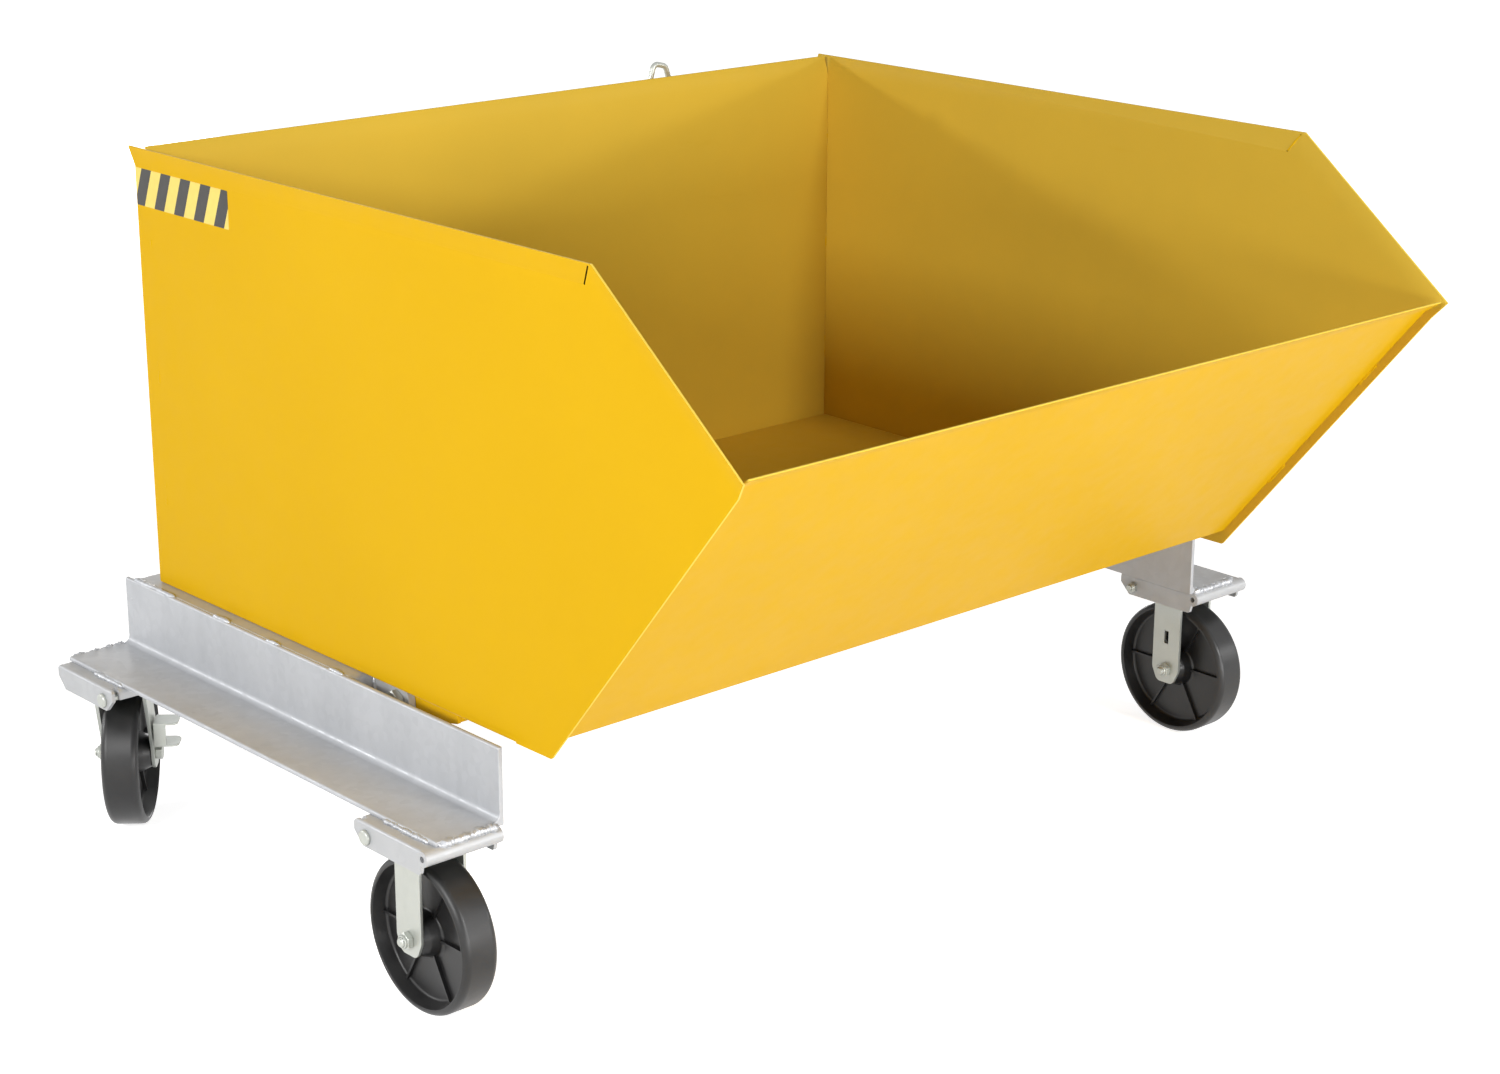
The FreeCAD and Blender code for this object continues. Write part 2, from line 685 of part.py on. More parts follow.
kink = (kink_at, side_h)
lip = (lip_at, lip_h)
tip = (tip_at, 0.0)
slope = unit(kink, lip)
front_edge = unit(lip, tip)
into_tub = (front_edge[1], -front_edge[0])


def strip(foot_a, foot_b, edge_b, edge_a):
    """Rim strip of the right side plate, leaning outward from its bend line."""
    corners = [(half_w, foot_a), (half_w, foot_b), (half_w + flare, edge_b), (half_w + flare, edge_a)]
    points = [FreeCAD.Vector(x, ahead(p[0]), tub_z + p[1]) for x, p in corners]
    face = Part.Face(Part.makePolygon(points + points[:1]))
    return face.extrude(FreeCAD.Vector(-tub_t, 0, 0))


def make_side():
    """Right side plate: flat sheet, two leaning rim strips and a turned-in foot."""
    under_slope = (kink[0] + slope[1] * strip_w, kink[1] - slope[0] * strip_w)
    bend_kink = crossing((0, side_h - strip_w), (1, 0), under_slope, slope)
    bend_lip = crossing(under_slope, slope, lip, front_edge)
    sheet = [(0, flange_rise), (0, side_h - strip_w), bend_kink, bend_lip, tip + (tip_r,),
             (flange_end, 0), (flange_end, flange_rise)]
    top_strip = strip((0, side_h - strip_w), bend_kink, kink, (0, side_h))
    slope_strip = strip(bend_kink, bend_lip, lip, kink)
    slit_a = (bend_kink[0] - slit_foot, bend_kink[1])
    slit_b = (kink[0] - slit_head, kink[1] - slit_edge)
    along = unit(slit_a, slit_b)
    off = (along[1] * slit_w / 2, -along[0] * slit_w / 2)
    slit = [(p[0] + s * off[0], p[1] + s * off[1])
            for p, s in ((slit_a, -1), (slit_b, -1), (slit_b, 1), (slit_a, 1))]
    cutter = tub_plate_x(slit, half_w - tub_t - past, half_w + flare + past)
    x = half_w
    foot = [(x - flange_w, tub_z), (x, tub_z, flange_r), (x, tub_z + flange_rise),
            (x - tub_t, tub_z + flange_rise), (x - tub_t, tub_z + tub_t, flange_r - tub_t),
            (x - flange_w, tub_z + tub_t)]
    return fused([tub_plate_x(sheet, half_w - tub_t, half_w), top_strip, slope_strip,
                  plate_y(foot, ahead(flange_end), ahead(0))]).cut(cutter)


def make_wall():
    """Back wall between the side plates, its top strip leaning backward."""
    u = wall_inset
    bend = side_h - strip_w
    section = [(u, floor_lift), (u, bend), (u - flare, side_h), (u - flare + tub_t, side_h),
               (u + tub_t, bend), (u + tub_t, floor_lift)]
    return tub_plate_x(section, -half_w + tub_t, half_w - tub_t)


def panel_point(depth, along):
    """Point on the front panel: depth into the tub, and distance down from the lip."""
    return (lip[0] + into_tub[0] * depth + front_edge[0] * along,
            lip[1] + into_tub[1] * depth + front_edge[1] * along)


def panel_at(depth, height):
    return crossing(panel_point(depth, 0), front_edge, (0, height), (1, 0))


def make_panel():
    """Sloping front panel between the side plates, its lip strip leaning outward."""
    deep = panel_inset + tub_t
    section = [panel_point(panel_inset - flare, 0), panel_point(panel_inset, strip_w),
               panel_at(panel_inset, floor_lift), panel_at(deep, floor_lift),
               panel_point(deep, strip_w), panel_point(deep - flare, 0)]
    return tub_plate_x(section, -half_w + tub_t, half_w - tub_t)


def make_floor():
    deep = panel_inset + tub_t
    top = floor_lift + tub_t
    back = wall_inset + tub_t
    section = [(back, floor_lift), (back, top), panel_at(deep, top), panel_at(deep, floor_lift)]
    return tub_plate_x(section, -half_w + tub_t, half_w - tub_t)


def make_channel():
    """Cross channel under the floor, ahead of the tipping pivot."""
    a = channel_front - channel_w
    b = channel_front
    t = channel_t
    low = floor_lift - channel_d
    bend = t + channel_bend
    section = [(a, floor_lift), (a, low, bend), (b, low, bend), (b, floor_lift), (b - t, floor_lift),
               (b - t, low + t, channel_bend), (a + t, low + t, channel_bend), (a + t, floor_lift)]
    return tub_plate_x(section, -ear_out + ear_t, ear_out - ear_t)


def make_ear():
    """Right-hand pivot ear that closes the channel's end and holds the bush."""
    low = -pivot_drop - ear_boss_r
    round_r = ear_boss_r - small_r
    shape = [(pivot_at - ear_back, floor_lift), (channel_front, floor_lift),
             (channel_front, floor_lift - channel_d, plate_r), (pivot_at + ear_boss_r, low, round_r),
             (pivot_at - ear_boss_r, low, round_r)]
    hole = drill((ear_out - ear_t, pivot_y, pivot_z), (ear_out, pivot_y, pivot_z), pivot_bush_d / 2 + fit)
    return tub_plate_x(shape, ear_out - ear_t, ear_out).cut(hole)


def make_bush():
    """Right-hand flanged bush in the ear, turning on the pivot bolt."""
    barrel_r = pivot_bush_d / 2
    collar_r = barrel_r + pivot_bush_collar
    collar = rod((bush_in, pivot_y, pivot_z), (ear_out - ear_t, pivot_y, pivot_z), collar_r)
    barrel = rod((bush_in, pivot_y, pivot_z), (ear_out, pivot_y, pivot_z), barrel_r)
    bore = drill((bush_in, pivot_y, pivot_z), (ear_out, pivot_y, pivot_z), pivot_pin_d / 2 + run)
    return fused([collar, barrel]).cut(bore)


# Latch

wall_out = ahead(wall_inset)


def make_latch_bracket():
    """Two ears on the back wall that carry the latch pin."""
    half = latch_ear_gap / 2
    z0 = latch_z - latch_ear_h / 2
    z1 = latch_z + latch_ear_h / 2
    reach = latch_y + latch_pin_d
    ear = [(wall_out, z0), (reach, latch_z - latch_pin_d, latch_ear_r),
           (reach, latch_z + latch_pin_d, latch_ear_r), (wall_out, z1)]
    left = latch_x - half - latch_ear_t
    right = latch_x + half + latch_ear_t
    base = box(left, right, wall_out, wall_out + latch_ear_t, z0, z1)
    pieces = [base, plate_x(ear, left, latch_x - half), plate_x(ear, latch_x + half, right)]
    hole = drill((left, latch_y, latch_z), (right, latch_y, latch_z), latch_pin_d / 2 + fit)
    return fused(pieces).cut(hole)


def make_latch_pin():
    span = latch_ear_gap / 2 + latch_ear_t
    left = latch_x - span
    head = rod((left - latch_head_h, latch_y, latch_z), (left, latch_y, latch_z), latch_pin_d * pin_head)
    shaft = rod((left, latch_y, latch_z), (latch_x + span + tail, latch_y, latch_z), latch_pin_d / 2)
    return fused([head, shaft])


def swept_rod(points, radius, wire_r):
    """Round rod through points in one plane with bends of one radius."""
    vectors = [FreeCAD.Vector(*p) for p in points]
    edges = []
    start = vectors[0]
    for i in range(1, len(vectors) - 1):
        before = (vectors[i - 1] - vectors[i]).normalize()
        after = (vectors[i + 1] - vectors[i]).normalize()
        half = before.getAngle(after) / 2
        reach = radius / math.tan(half)
        inward = (before + after).normalize()
        a = vectors[i] + before * reach
        b = vectors[i] + after * reach
        edges.append(Part.LineSegment(start, a).toShape())
        edges.append(Part.Arc(a, vectors[i] + inward * (radius / math.sin(half) - radius), b).toShape())
        start = b
    edges.append(Part.LineSegment(start, vectors[-1]).toShape())
    path = Part.Wire(edges)
    circle = Part.Wire([Part.Circle(vectors[0], vectors[1] - vectors[0], wire_r).toShape()])
    return path.makePipeShell([circle], True, False)


def make_latch_lever():
    """Release lever: hooked flat shank around the pin, round handle above it."""
    across = latch_bar[0] / 2
    along = latch_bar[1] / 2
    low = rail_top + latch_nose_lift
    top = latch_z + latch_shank_top
    nose_top = low + latch_nose_h
    back = latch_y + along
    front = latch_y - along
    shank = [(back, low, plate_r), (back, top, plate_r), (front, top, plate_r),
             (front, nose_top, small_r), (nose_y, nose_top, small_r), (nose_y, low, small_r)]
    crest = rim_z + latch_rod_top - latch_rod_d / 2
    crest_x = latch_x + latch_lean
    route = [(latch_x, latch_y, latch_z + latch_pin_d), (latch_x, latch_y, rim_z - latch_bend_drop),
             (crest_x, latch_y, crest + latch_crest_rise),
             (crest_x + latch_hook_out, latch_y, crest - latch_hook_fall),
             (crest_x + latch_hook_end, latch_y, rim_z - latch_end_drop)]
    left = latch_x - across
    right = latch_x + across
    lever = fused([plate_x(shank, left, right), swept_rod(route, latch_rod_d, latch_rod_d / 2)])
    return lever.cut(drill((left, latch_y, latch_z), (right, latch_y, latch_z), latch_pin_d / 2 + run))


# Build every piece

os.makedirs("parts", exist_ok=True)

right_rail = make_rail()
keep("right_rail", right_rail)
keep("left_rail", mirrored(right_rail))
keep("rear_deck", make_deck())
keep("pivot_cross_tube", make_cross_tube())
lug = make_lug()
keep("right_pivot_lug", lug)
keep("left_pivot_lug", mirrored(lug))
pin = make_pivot_pin()
keep("right_pivot_bolt", pin)
keep("left_pivot_bolt", mirrored(pin))
pivot_nut = make_pivot_nut()
keep("pivot_nuts", [pivot_nut, mirrored(pivot_nut)])
keep("latch_catch", make_catch())


def at_corners(front, rear):
    """One copy of a pad piece at each corner, closed ends to the outside."""
    front_left = moved(front, -track, front_axle_y)
    rear_left = moved(turned_back(rear, 0), -track, rear_axis_y)
    return {"front_left": front_left, "front_right": mirrored(front_left),
            "rear_left": rear_left, "rear_right": mirrored(rear_left)}


for corner, pad in at_corners(make_pad(False), make_pad(True)).items():
    keep(corner + "_caster_pad", pad)
for node, piece in (("pad_bolts", make_pad_bolt()), ("pad_nuts", make_pad_nut())):
    keep(node, list(at_corners(piece, piece).values()))

fork = moved(make_rigid_fork(), -track, front_axle_y)
keep("front_left_fork", fork)
keep("front_right_fork", mirrored(fork))
bolt, nut, sleeve = make_axle(0)
for node, piece in (("front_axle_bolts", bolt), ("front_axle_nuts", nut), ("front_axle_sleeves", sleeve)):
    keep(node, [moved(piece, x, front_axle_y) for x in (-track, track)])
wheel = moved(make_wheel(0), -track, front_axle_y)
keep("front_left_wheel", wheel)
keep("front_right_wheel", mirrored(wheel))

rear_places = {"rear_left": (-track, left_swivel), "rear_right": (track, right_swivel)}
for corner, (x, angle) in rear_places.items():
    keep(corner + "_top_plate", moved(make_swivel_top(), x, rear_axis_y))
    keep(corner + "_kingpin", moved(make_kingpin(), x, rear_axis_y))
    keep(corner + "_kingpin_nut", moved(make_kingpin_nut(), x, rear_axis_y))
    keep(corner + "_swivel_balls", [moved(ball, x, rear_axis_y) for ball in make_balls()])
    keep(corner + "_fork", moved(make_swivel_fork(), x, rear_axis_y, angle))
    bolt, nut, sleeve = make_axle(caster_trail)
    keep(corner + "_axle_bolt", moved(bolt, x, rear_axis_y, angle))
    keep(corner + "_axle_nut", moved(nut, x, rear_axis_y, angle))
    keep(corner + "_axle_sleeve", moved(sleeve, x, rear_axis_y, angle))
    keep(corner + "_wheel", moved(make_wheel(caster_trail), x, rear_axis_y, angle))
    keep(corner + "_brake_pin", moved(make_brake_pin(), x, rear_axis_y, angle))
    keep(corner + "_brake_lever", moved(make_brake_lever(), x, rear_axis_y, angle))

side = make_side()
keep("tub_right_side", side)
keep("tub_left_side", mirrored(side))
keep("tub_back_wall", make_wall())
keep("tub_front_panel", make_panel())
keep("tub_floor", make_floor())
keep("tub_cross_channel", make_channel())
ear = make_ear()
keep("right_pivot_ear", ear)
keep("left_pivot_ear", mirrored(ear))
bush = make_bush()
keep("pivot_bushes", [bush, mirrored(bush)])
keep("latch_bracket", make_latch_bracket())
keep("latch_pin", make_latch_pin())
keep("latch_lever", make_latch_lever())

whole = Part.makeCompound(list(made.values())).BoundBox
print("pieces:", len(made))
print("box: x %.1f to %.1f, y %.1f to %.1f, z %.1f to %.1f" % (
    whole.XMin, whole.XMax, whole.YMin, whole.YMax, whole.ZMin, whole.ZMax))
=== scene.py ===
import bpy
import json
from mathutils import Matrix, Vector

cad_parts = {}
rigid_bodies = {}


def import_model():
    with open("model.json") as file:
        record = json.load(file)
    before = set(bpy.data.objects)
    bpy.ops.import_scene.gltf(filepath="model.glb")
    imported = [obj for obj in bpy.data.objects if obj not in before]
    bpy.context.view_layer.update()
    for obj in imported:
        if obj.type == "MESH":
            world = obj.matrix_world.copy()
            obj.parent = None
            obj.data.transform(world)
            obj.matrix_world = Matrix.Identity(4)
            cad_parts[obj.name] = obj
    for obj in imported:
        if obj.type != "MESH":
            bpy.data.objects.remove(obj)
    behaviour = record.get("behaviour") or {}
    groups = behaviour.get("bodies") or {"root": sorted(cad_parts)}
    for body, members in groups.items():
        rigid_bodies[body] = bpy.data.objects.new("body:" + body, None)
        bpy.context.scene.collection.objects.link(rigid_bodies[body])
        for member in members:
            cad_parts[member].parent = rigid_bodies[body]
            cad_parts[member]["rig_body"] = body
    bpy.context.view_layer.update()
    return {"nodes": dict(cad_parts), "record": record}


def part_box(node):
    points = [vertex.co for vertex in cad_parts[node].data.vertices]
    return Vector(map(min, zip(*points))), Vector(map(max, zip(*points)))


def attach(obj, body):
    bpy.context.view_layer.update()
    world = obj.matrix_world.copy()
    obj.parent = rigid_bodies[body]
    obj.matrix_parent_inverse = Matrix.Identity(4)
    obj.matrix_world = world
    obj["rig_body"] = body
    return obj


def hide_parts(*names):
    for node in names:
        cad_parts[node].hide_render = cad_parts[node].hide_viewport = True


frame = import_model()

import bpy
import bmesh
import json
import math
import random
from mathutils import Matrix, Vector

cadNodes = frame["nodes"]
print("frame loaded:", len(cadNodes), "pieces from the CAD model")

# places that several pieces share, in metres
trolley = {
    "backY": 0.5555,        # back edge of the tub's side plates
    "feetZ": 0.3461,        # underside of the tub, top of the rails
    "sideX": 0.624,         # outer face of a side plate
    "railX": 0.6425,        # inboard face of a rail
}


def ahead(distance):
    return trolley["backY"] - distance  # distance runs forward from the tub's back edge


sameSpot = 1e-6  # points of a mesh closer than this are one point


# small helpers for node trees

def addNode(tree, kind, inputs=None, **settings):
    made = tree.nodes.new(kind)
    for key, value in settings.items():
        setattr(made, key, value)
    for key, value in (inputs or {}).items():
        made.inputs[key].default_value = value
    return made


def joinNodes(tree, source, output, target, socket):
    tree.links.new(source.outputs[output], target.inputs[socket])


def startFinish(name, **shaderValues):
    finish = bpy.data.materials.new(name)
    finish.use_nodes = True
    tree = finish.node_tree
    shader = tree.nodes["Principled BSDF"]
    for key, value in shaderValues.items():
        shader.inputs[key.replace("_", " ")].default_value = value
    place = addNode(tree, "ShaderNodeTexCoord")
    return finish, tree, shader, place


def addNoise(tree, place, scale, detail=3.0, rough=0.5, stretch=None):
    made = addNode(tree, "ShaderNodeTexNoise", {"Scale": scale, "Detail": detail, "Roughness": rough})
    if stretch:
        squeeze = addNode(tree, "ShaderNodeMapping", {"Scale": stretch})
        joinNodes(tree, place, "Object", squeeze, "Vector")
        joinNodes(tree, squeeze, "Vector", made, "Vector")
    else:
        joinNodes(tree, place, "Object", made, "Vector")
    return made


def addRamp(tree, source, output, stops):
    ramp = addNode(tree, "ShaderNodeValToRGB")
    ramp.color_ramp.elements[0].position = stops[0][0]
    ramp.color_ramp.elements[0].color = (*stops[0][1], 1)
    ramp.color_ramp.elements[1].position = stops[-1][0]
    ramp.color_ramp.elements[1].color = (*stops[-1][1], 1)
    for at, colour in stops[1:-1]:
        ramp.color_ramp.elements.new(at).color = (*colour, 1)
    joinNodes(tree, source, output, ramp, "Fac")
    return ramp


def addRange(tree, source, output, low, high, fromLow=0.3, fromHigh=0.7):
    limits = {"From Min": fromLow, "From Max": fromHigh, "To Min": low, "To Max": high}
    span = addNode(tree, "ShaderNodeMapRange", limits)
    joinNodes(tree, source, output, span, "Value")
    return span


def addMix(tree, factor, factorOut, first, firstOut, second, secondOut):
    mix = addBlend(tree, 0.5, first, firstOut, second, secondOut)
    joinNodes(tree, factor, factorOut, mix, 0)
    return mix


def addBlend(tree, share, first, firstOut, second, secondOut):
    mix = addNode(tree, "ShaderNodeMix", data_type="RGBA", blend_type="MIX")
    mix.inputs[0].default_value = share
    joinNodes(tree, first, firstOut, mix, 6)
    joinNodes(tree, second, secondOut, mix, 7)
    return mix


def addBump(tree, shader, layers):
    previous = None  # each layer: source, its output, strength, depth in metres
    for source, output, strength, depth in layers:
        bump = addNode(tree, "ShaderNodeBump", {"Strength": strength, "Distance": depth})
        joinNodes(tree, source, output, bump, "Height")
        if previous:
            joinNodes(tree, previous, "Normal", bump, "Normal")
        previous = bump
    joinNodes(tree, previous, "Normal", shader, "Normal")


# finishes

tubPaintLook = {
    "light": (0.750, 0.440, 0.006), "deep": (0.718, 0.416, 0.005), "dust": (0.55, 0.32, 0.03),
    "paintedInsidePale": (0.760, 0.500, 0.050), "paintedInsideDeep": (0.690, 0.455, 0.048),  # painted light: a paler, greyer copy of the paint for faces inside the tub, standing in for the light there
    # the edge colours are a painted highlight on the plates' cut edges
    "paintedEdgeHighlight": (0.95, 0.71, 0.12), "paintedEdgeHighlightDeep": (0.92, 0.67, 0.10), "paintedSlitShade": (0.060, 0.034, 0.006),
# the last colour is painted shade for the walls of the rim slits
}


def makeTubPaint():
    look = tubPaintLook
    finish, tree, shader, place = startFinish("yellowPowderCoat", Specular_IOR_Level=0.05)
    clouds = addNoise(tree, place, scale=2.2, detail=5.0, rough=0.55)
    outside = addRamp(tree, clouds, "Fac", [(0.3, look["deep"]), (0.7, look["light"])])
    # painted light: faces inside the tub take a paler, greyer copy of the paint
    inside = addRamp(tree, clouds, "Fac", [(0.3, look["paintedInsideDeep"]), (0.7, look["paintedInsidePale"])])
    faces = addNode(tree, "ShaderNodeAttribute", attribute_name="inside")
    tone = addMix(tree, faces, "Fac", outside, "Color", inside, "Color")
    smears = addNoise(tree, place, scale=5.0, detail=8.0, rough=0.7, stretch=(1.0, 1.0, 6.0))
    dust = addRange(tree, smears, "Fac", low=0.0, high=0.22, fromLow=0.62, fromHigh=0.82)
    dustTone = addRamp(tree, smears, "Fac", [(0.0, look["dust"]), (1.0, look["deep"])])
    blend = addMix(tree, dust, "Result", tone, 2, dustTone, "Color")
    # painted highlight: the plates' cut edges take a paler, brighter yellow
    cut = addNode(tree, "ShaderNodeAttribute", attribute_name="cutEdge")
    highlightShare = addRange(tree, cut, "Fac", low=0.0, high=0.85, fromLow=0.0, fromHigh=1.0)
    highlightTone = addRamp(tree, clouds, "Fac", [(0.3, look["paintedEdgeHighlightDeep"]), (0.7, look["paintedEdgeHighlight"])])
    highlighted = addMix(tree, highlightShare, "Result", blend, 2, highlightTone, "Color")
    # painted shade: the walls of the rim slits turn dark brown, as if deep in shadow
    slit = addNode(tree, "ShaderNodeAttribute", attribute_name="slitWall")
    slitShaded = addNode(tree, "ShaderNodeMix", data_type="RGBA", blend_type="MIX")
    slitShaded.inputs[7].default_value = (*look["paintedSlitShade"], 1.0)
    joinNodes(tree, slit, "Fac", slitShaded, 0)
    joinNodes(tree, highlighted, 2, slitShaded, 6)
    joinNodes(tree, slitShaded, 2, shader, "Base Color")
    gloss = addNoise(tree, place, scale=40.0, detail=4.0)
    joinNodes(tree, addRange(tree, gloss, "Fac", low=0.33, high=0.44), "Result", shader, "Roughness")
    sheetWave = addNoise(tree, place, scale=3.0, detail=1.0)
    peel = addNoise(tree, place, scale=520.0, detail=2.0)
    addBump(tree, shader, [(sheetWave, "Fac", 0.35, 0.004), (peel, "Fac", 0.10, 0.0004)])
    return finish


spangleLook = {"scale": 95.0, "warp": 0.012, "share": 0.4, "drips": 0.18}
galvanisedLook = {"pale": (0.545, 0.558, 0.580), "mid": (0.465, 0.478, 0.498), "dark": (0.360, 0.373, 0.393)}
padLook = {"pale": (0.540, 0.552, 0.566), "mid": (0.490, 0.500, 0.514), "dark": (0.400, 0.410, 0.424)}


def makeGalvanised(name="galvanisedSteel", lumps=0.12, look=galvanisedLook, gritty=0.12, metal=0.25):
    finish, tree, shader, place = startFinish(name, Metallic=metal, Specular_IOR_Level=0.25)
    warp = addNoise(tree, place, scale=30.0, detail=2.0)
    nudge = addNode(tree, "ShaderNodeVectorMath", operation="MULTIPLY_ADD")
    nudge.inputs[1].default_value = [spangleLook["warp"]] * 3
    joinNodes(tree, warp, "Color", nudge, 0)
    joinNodes(tree, place, "Object", nudge, 2)
    spangle = addNode(tree, "ShaderNodeTexVoronoi", {"Scale": spangleLook["scale"]})
    joinNodes(tree, nudge, "Vector", spangle, "Vector")
    flakes = addNode(tree, "ShaderNodeSeparateColor")
    joinNodes(tree, spangle, "Color", flakes, "Color")
    clouds = addNoise(tree, place, scale=9.0, detail=6.0, rough=0.6)
    drips = addNoise(tree, place, scale=14.0, detail=4.0, rough=0.6, stretch=(1.0, 1.0, 0.15))
    base = addRamp(tree, clouds, "Fac", [(0.25, look["mid"]), (0.75, look["pale"])])
    flakeTone = addRamp(tree, flakes, "Red", [(0.0, look["mid"]), (1.0, look["pale"])])
    dripTone = addRamp(tree, drips, "Fac", [(0.35, look["dark"]), (0.6, look["pale"])])
    flaked = addBlend(tree, spangleLook["share"], base, "Color", flakeTone, "Color")
    runs = addBlend(tree, spangleLook["drips"], flaked, 2, dripTone, "Color")
    joinNodes(tree, runs, 2, shader, "Base Color")
    sheen = addRange(tree, flakes, "Green", low=0.36, high=0.52, fromLow=0.0, fromHigh=1.0)
    joinNodes(tree, sheen, "Result", shader, "Roughness")
    grit = addNoise(tree, place, scale=260.0, detail=4.0)
    addBump(tree, shader, [(clouds, "Fac", lumps, 0.002), (grit, "Fac", gritty, 0.0006)])
    return finish


zincLook = {"pale": (0.520, 0.540, 0.505), "mid": (0.490, 0.510, 0.475), "stain": (0.445, 0.463, 0.428)}


def makeZincPlate():
    look = zincLook
    finish, tree, shader, place = startFinish("brightZincPlate", Metallic=0.55, Specular_IOR_Level=0.35)
    clouds = addNoise(tree, place, scale=25.0, detail=6.0, rough=0.6)
    tone = addRamp(tree, clouds, "Fac", [(0.2, look["stain"]), (0.45, look["mid"]), (0.75, look["pale"])])
    joinNodes(tree, tone, "Color", shader, "Base Color")
    rub = addNoise(tree, place, scale=120.0, detail=5.0, rough=0.6, stretch=(1.0, 1.0, 0.25))
    joinNodes(tree, addRange(tree, rub, "Fac", low=0.30, high=0.42), "Result", shader, "Roughness")
    addBump(tree, shader, [(rub, "Fac", 0.04, 0.0002)])
    return finish


wheelLook = {"black": (0.008, 0.008, 0.0085), "bloom": (0.019, 0.0185, 0.0185)}


def makeWheelBlack():
    look = wheelLook
    finish, tree, shader, place = startFinish("blackMouldedWheel")
    bloom = addNoise(tree, place, scale=18.0, detail=6.0, rough=0.6)
    tone = addRamp(tree, bloom, "Fac", [(0.3, look["black"]), (0.75, look["bloom"])])
    joinNodes(tree, tone, "Color", shader, "Base Color")
    joinNodes(tree, addRange(tree, bloom, "Fac", low=0.30, high=0.48), "Result", shader, "Roughness")
    grain = addNoise(tree, place, scale=700.0, detail=3.0)
    addBump(tree, shader, [(bloom, "Fac", 0.10, 0.001), (grain, "Fac", 0.10, 0.0003)])
    return finish


bearingLook = {"dull": (0.55, 0.55, 0.56), "bright": (0.72, 0.72, 0.73)}


def makeBearingSteel():
    look = bearingLook
    finish, tree, shader, place = startFinish("groundBearingSteel", Metallic=1.0)
    lines = addNoise(tree, place, scale=300.0, detail=3.0, rough=0.5, stretch=(0.1, 1.0, 1.0))
    tone = addRamp(tree, lines, "Fac", [(0.3, look["dull"]), (0.7, look["bright"])])
    joinNodes(tree, tone, "Color", shader, "Base Color")
    joinNodes(tree, addRange(tree, lines, "Fac", low=0.18, high=0.30), "Result", shader, "Roughness")
    return finish


finishes = {
    "tub_paint": makeTubPaint(),
    "galvanised": makeGalvanised(),
    "zinc_plate": makeZincPlate(),
    "wheel_black": makeWheelBlack(),
    "bearing_steel": makeBearingSteel(),
}
weldFinish = makeGalvanised("galvanisedWeld", lumps=0.5, gritty=0.7, metal=0.7)
padFinish = makeGalvanised("galvanisedPad", lumps=0.10, look=padLook)
slotOfNode = {entry["node"]: entry["material_slot"] for entry in frame["record"]["subparts"]}
for name, cadObject in cadNodes.items():
    cadObject.data.materials.clear()
    cadObject.data.materials.append(finishes[slotOfNode[name]])
print("finishes on the CAD pieces:", ", ".join(sorted(finishes)))


# axle, pad and pivot fasteners: hexagons with turned chamfers, and threads on the bolts

fastenerLook = {
    "around": 72, "shade": 25,  # points in a ring; degrees from which an edge shades sharp
    "face": 0.95, "collar": 0.84, "hexShare": 0.74,  # shares of the flat's radius and of a nut's height
    "headShare": 1.2,  # a bolt is head where it is wider than this share of its shank
    "pitch": 0.0020, "depth": 0.0011, "thread": 0.018, "perTurn": 6,
    "round": 0.0012, "step": 0.0004, "chamfer": 0.0005,
}
fastened = {  # degrees about Z from a bolt's head to its nut; None where the nut is on the inboard side
    "front_axle_bolts": 180, "rear_left_axle_bolt": 140, "rear_right_axle_bolt": 220, "left_pivot_bolt": 0,
    "right_pivot_bolt": 180, "front_axle_nuts": 180, "rear_left_axle_nut": 140, "rear_right_axle_nut": 220,
    "pad_nuts": None, "pivot_nuts": None,
}


def placePiece(name, mesh, sharpAngle, finish=None):
    data = bpy.data.meshes.new(name + "_dressed")
    mesh.to_mesh(data)
    mesh.free()
    data.set_sharp_from_angle(angle=math.radians(sharpAngle))
    piece = bpy.data.objects.new(name + "_dressed", data)
    bpy.context.scene.collection.objects.link(piece)
    data.materials.append(finish or finishes[slotOfNode[name]])
    even = piece.modifiers.new("evenShading", "WEIGHTED_NORMAL")
    even.keep_sharp = True
    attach(piece, cadNodes[name]["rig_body"])
    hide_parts(name)


def looseParts(data):
    mesh = bmesh.new()
    mesh.from_mesh(data)
    bmesh.ops.remove_doubles(mesh, verts=mesh.verts, dist=sameSpot)
    groups = []
    for first in mesh.verts:
        if first.tag:
            continue
        first.tag = True
        queue, group = [first], []
        while queue:
            vert = queue.pop()
            group.append(vert.co.copy())
            for edge in vert.link_edges:
                other = edge.other_vert(vert)
                if not other.tag:
                    other.tag = True
                    queue.append(other)
        groups.append(group)
    mesh.free()
    return groups


def hexRadius(angle, flat):
    return flat / math.cos(math.radians((math.degrees(angle) + 1e-6) % 60 - 30))


def hexRings(start, stop, flat):
    # a hexagon with a cone turned on both ends
    look = fastenerLook
    face = flat * look["face"]
    corner = flat / math.cos(math.pi / 6)
    deep = (corner - face) * math.tan(math.pi / 6)
    levels = [(start + deep * share, share) for share in (0, 0.5, 1)]
    levels += [(stop - deep * share, share) for share in (1, 0.5, 0)]
    rings = []
    for t, share in levels:
        cone = face + (corner - face) * share
        rings.append((t, lambda angle, cone=cone: min(hexRadius(angle, flat), cone)))
    return rings


def plainRing(t, radius):
    return t, lambda angle: radius


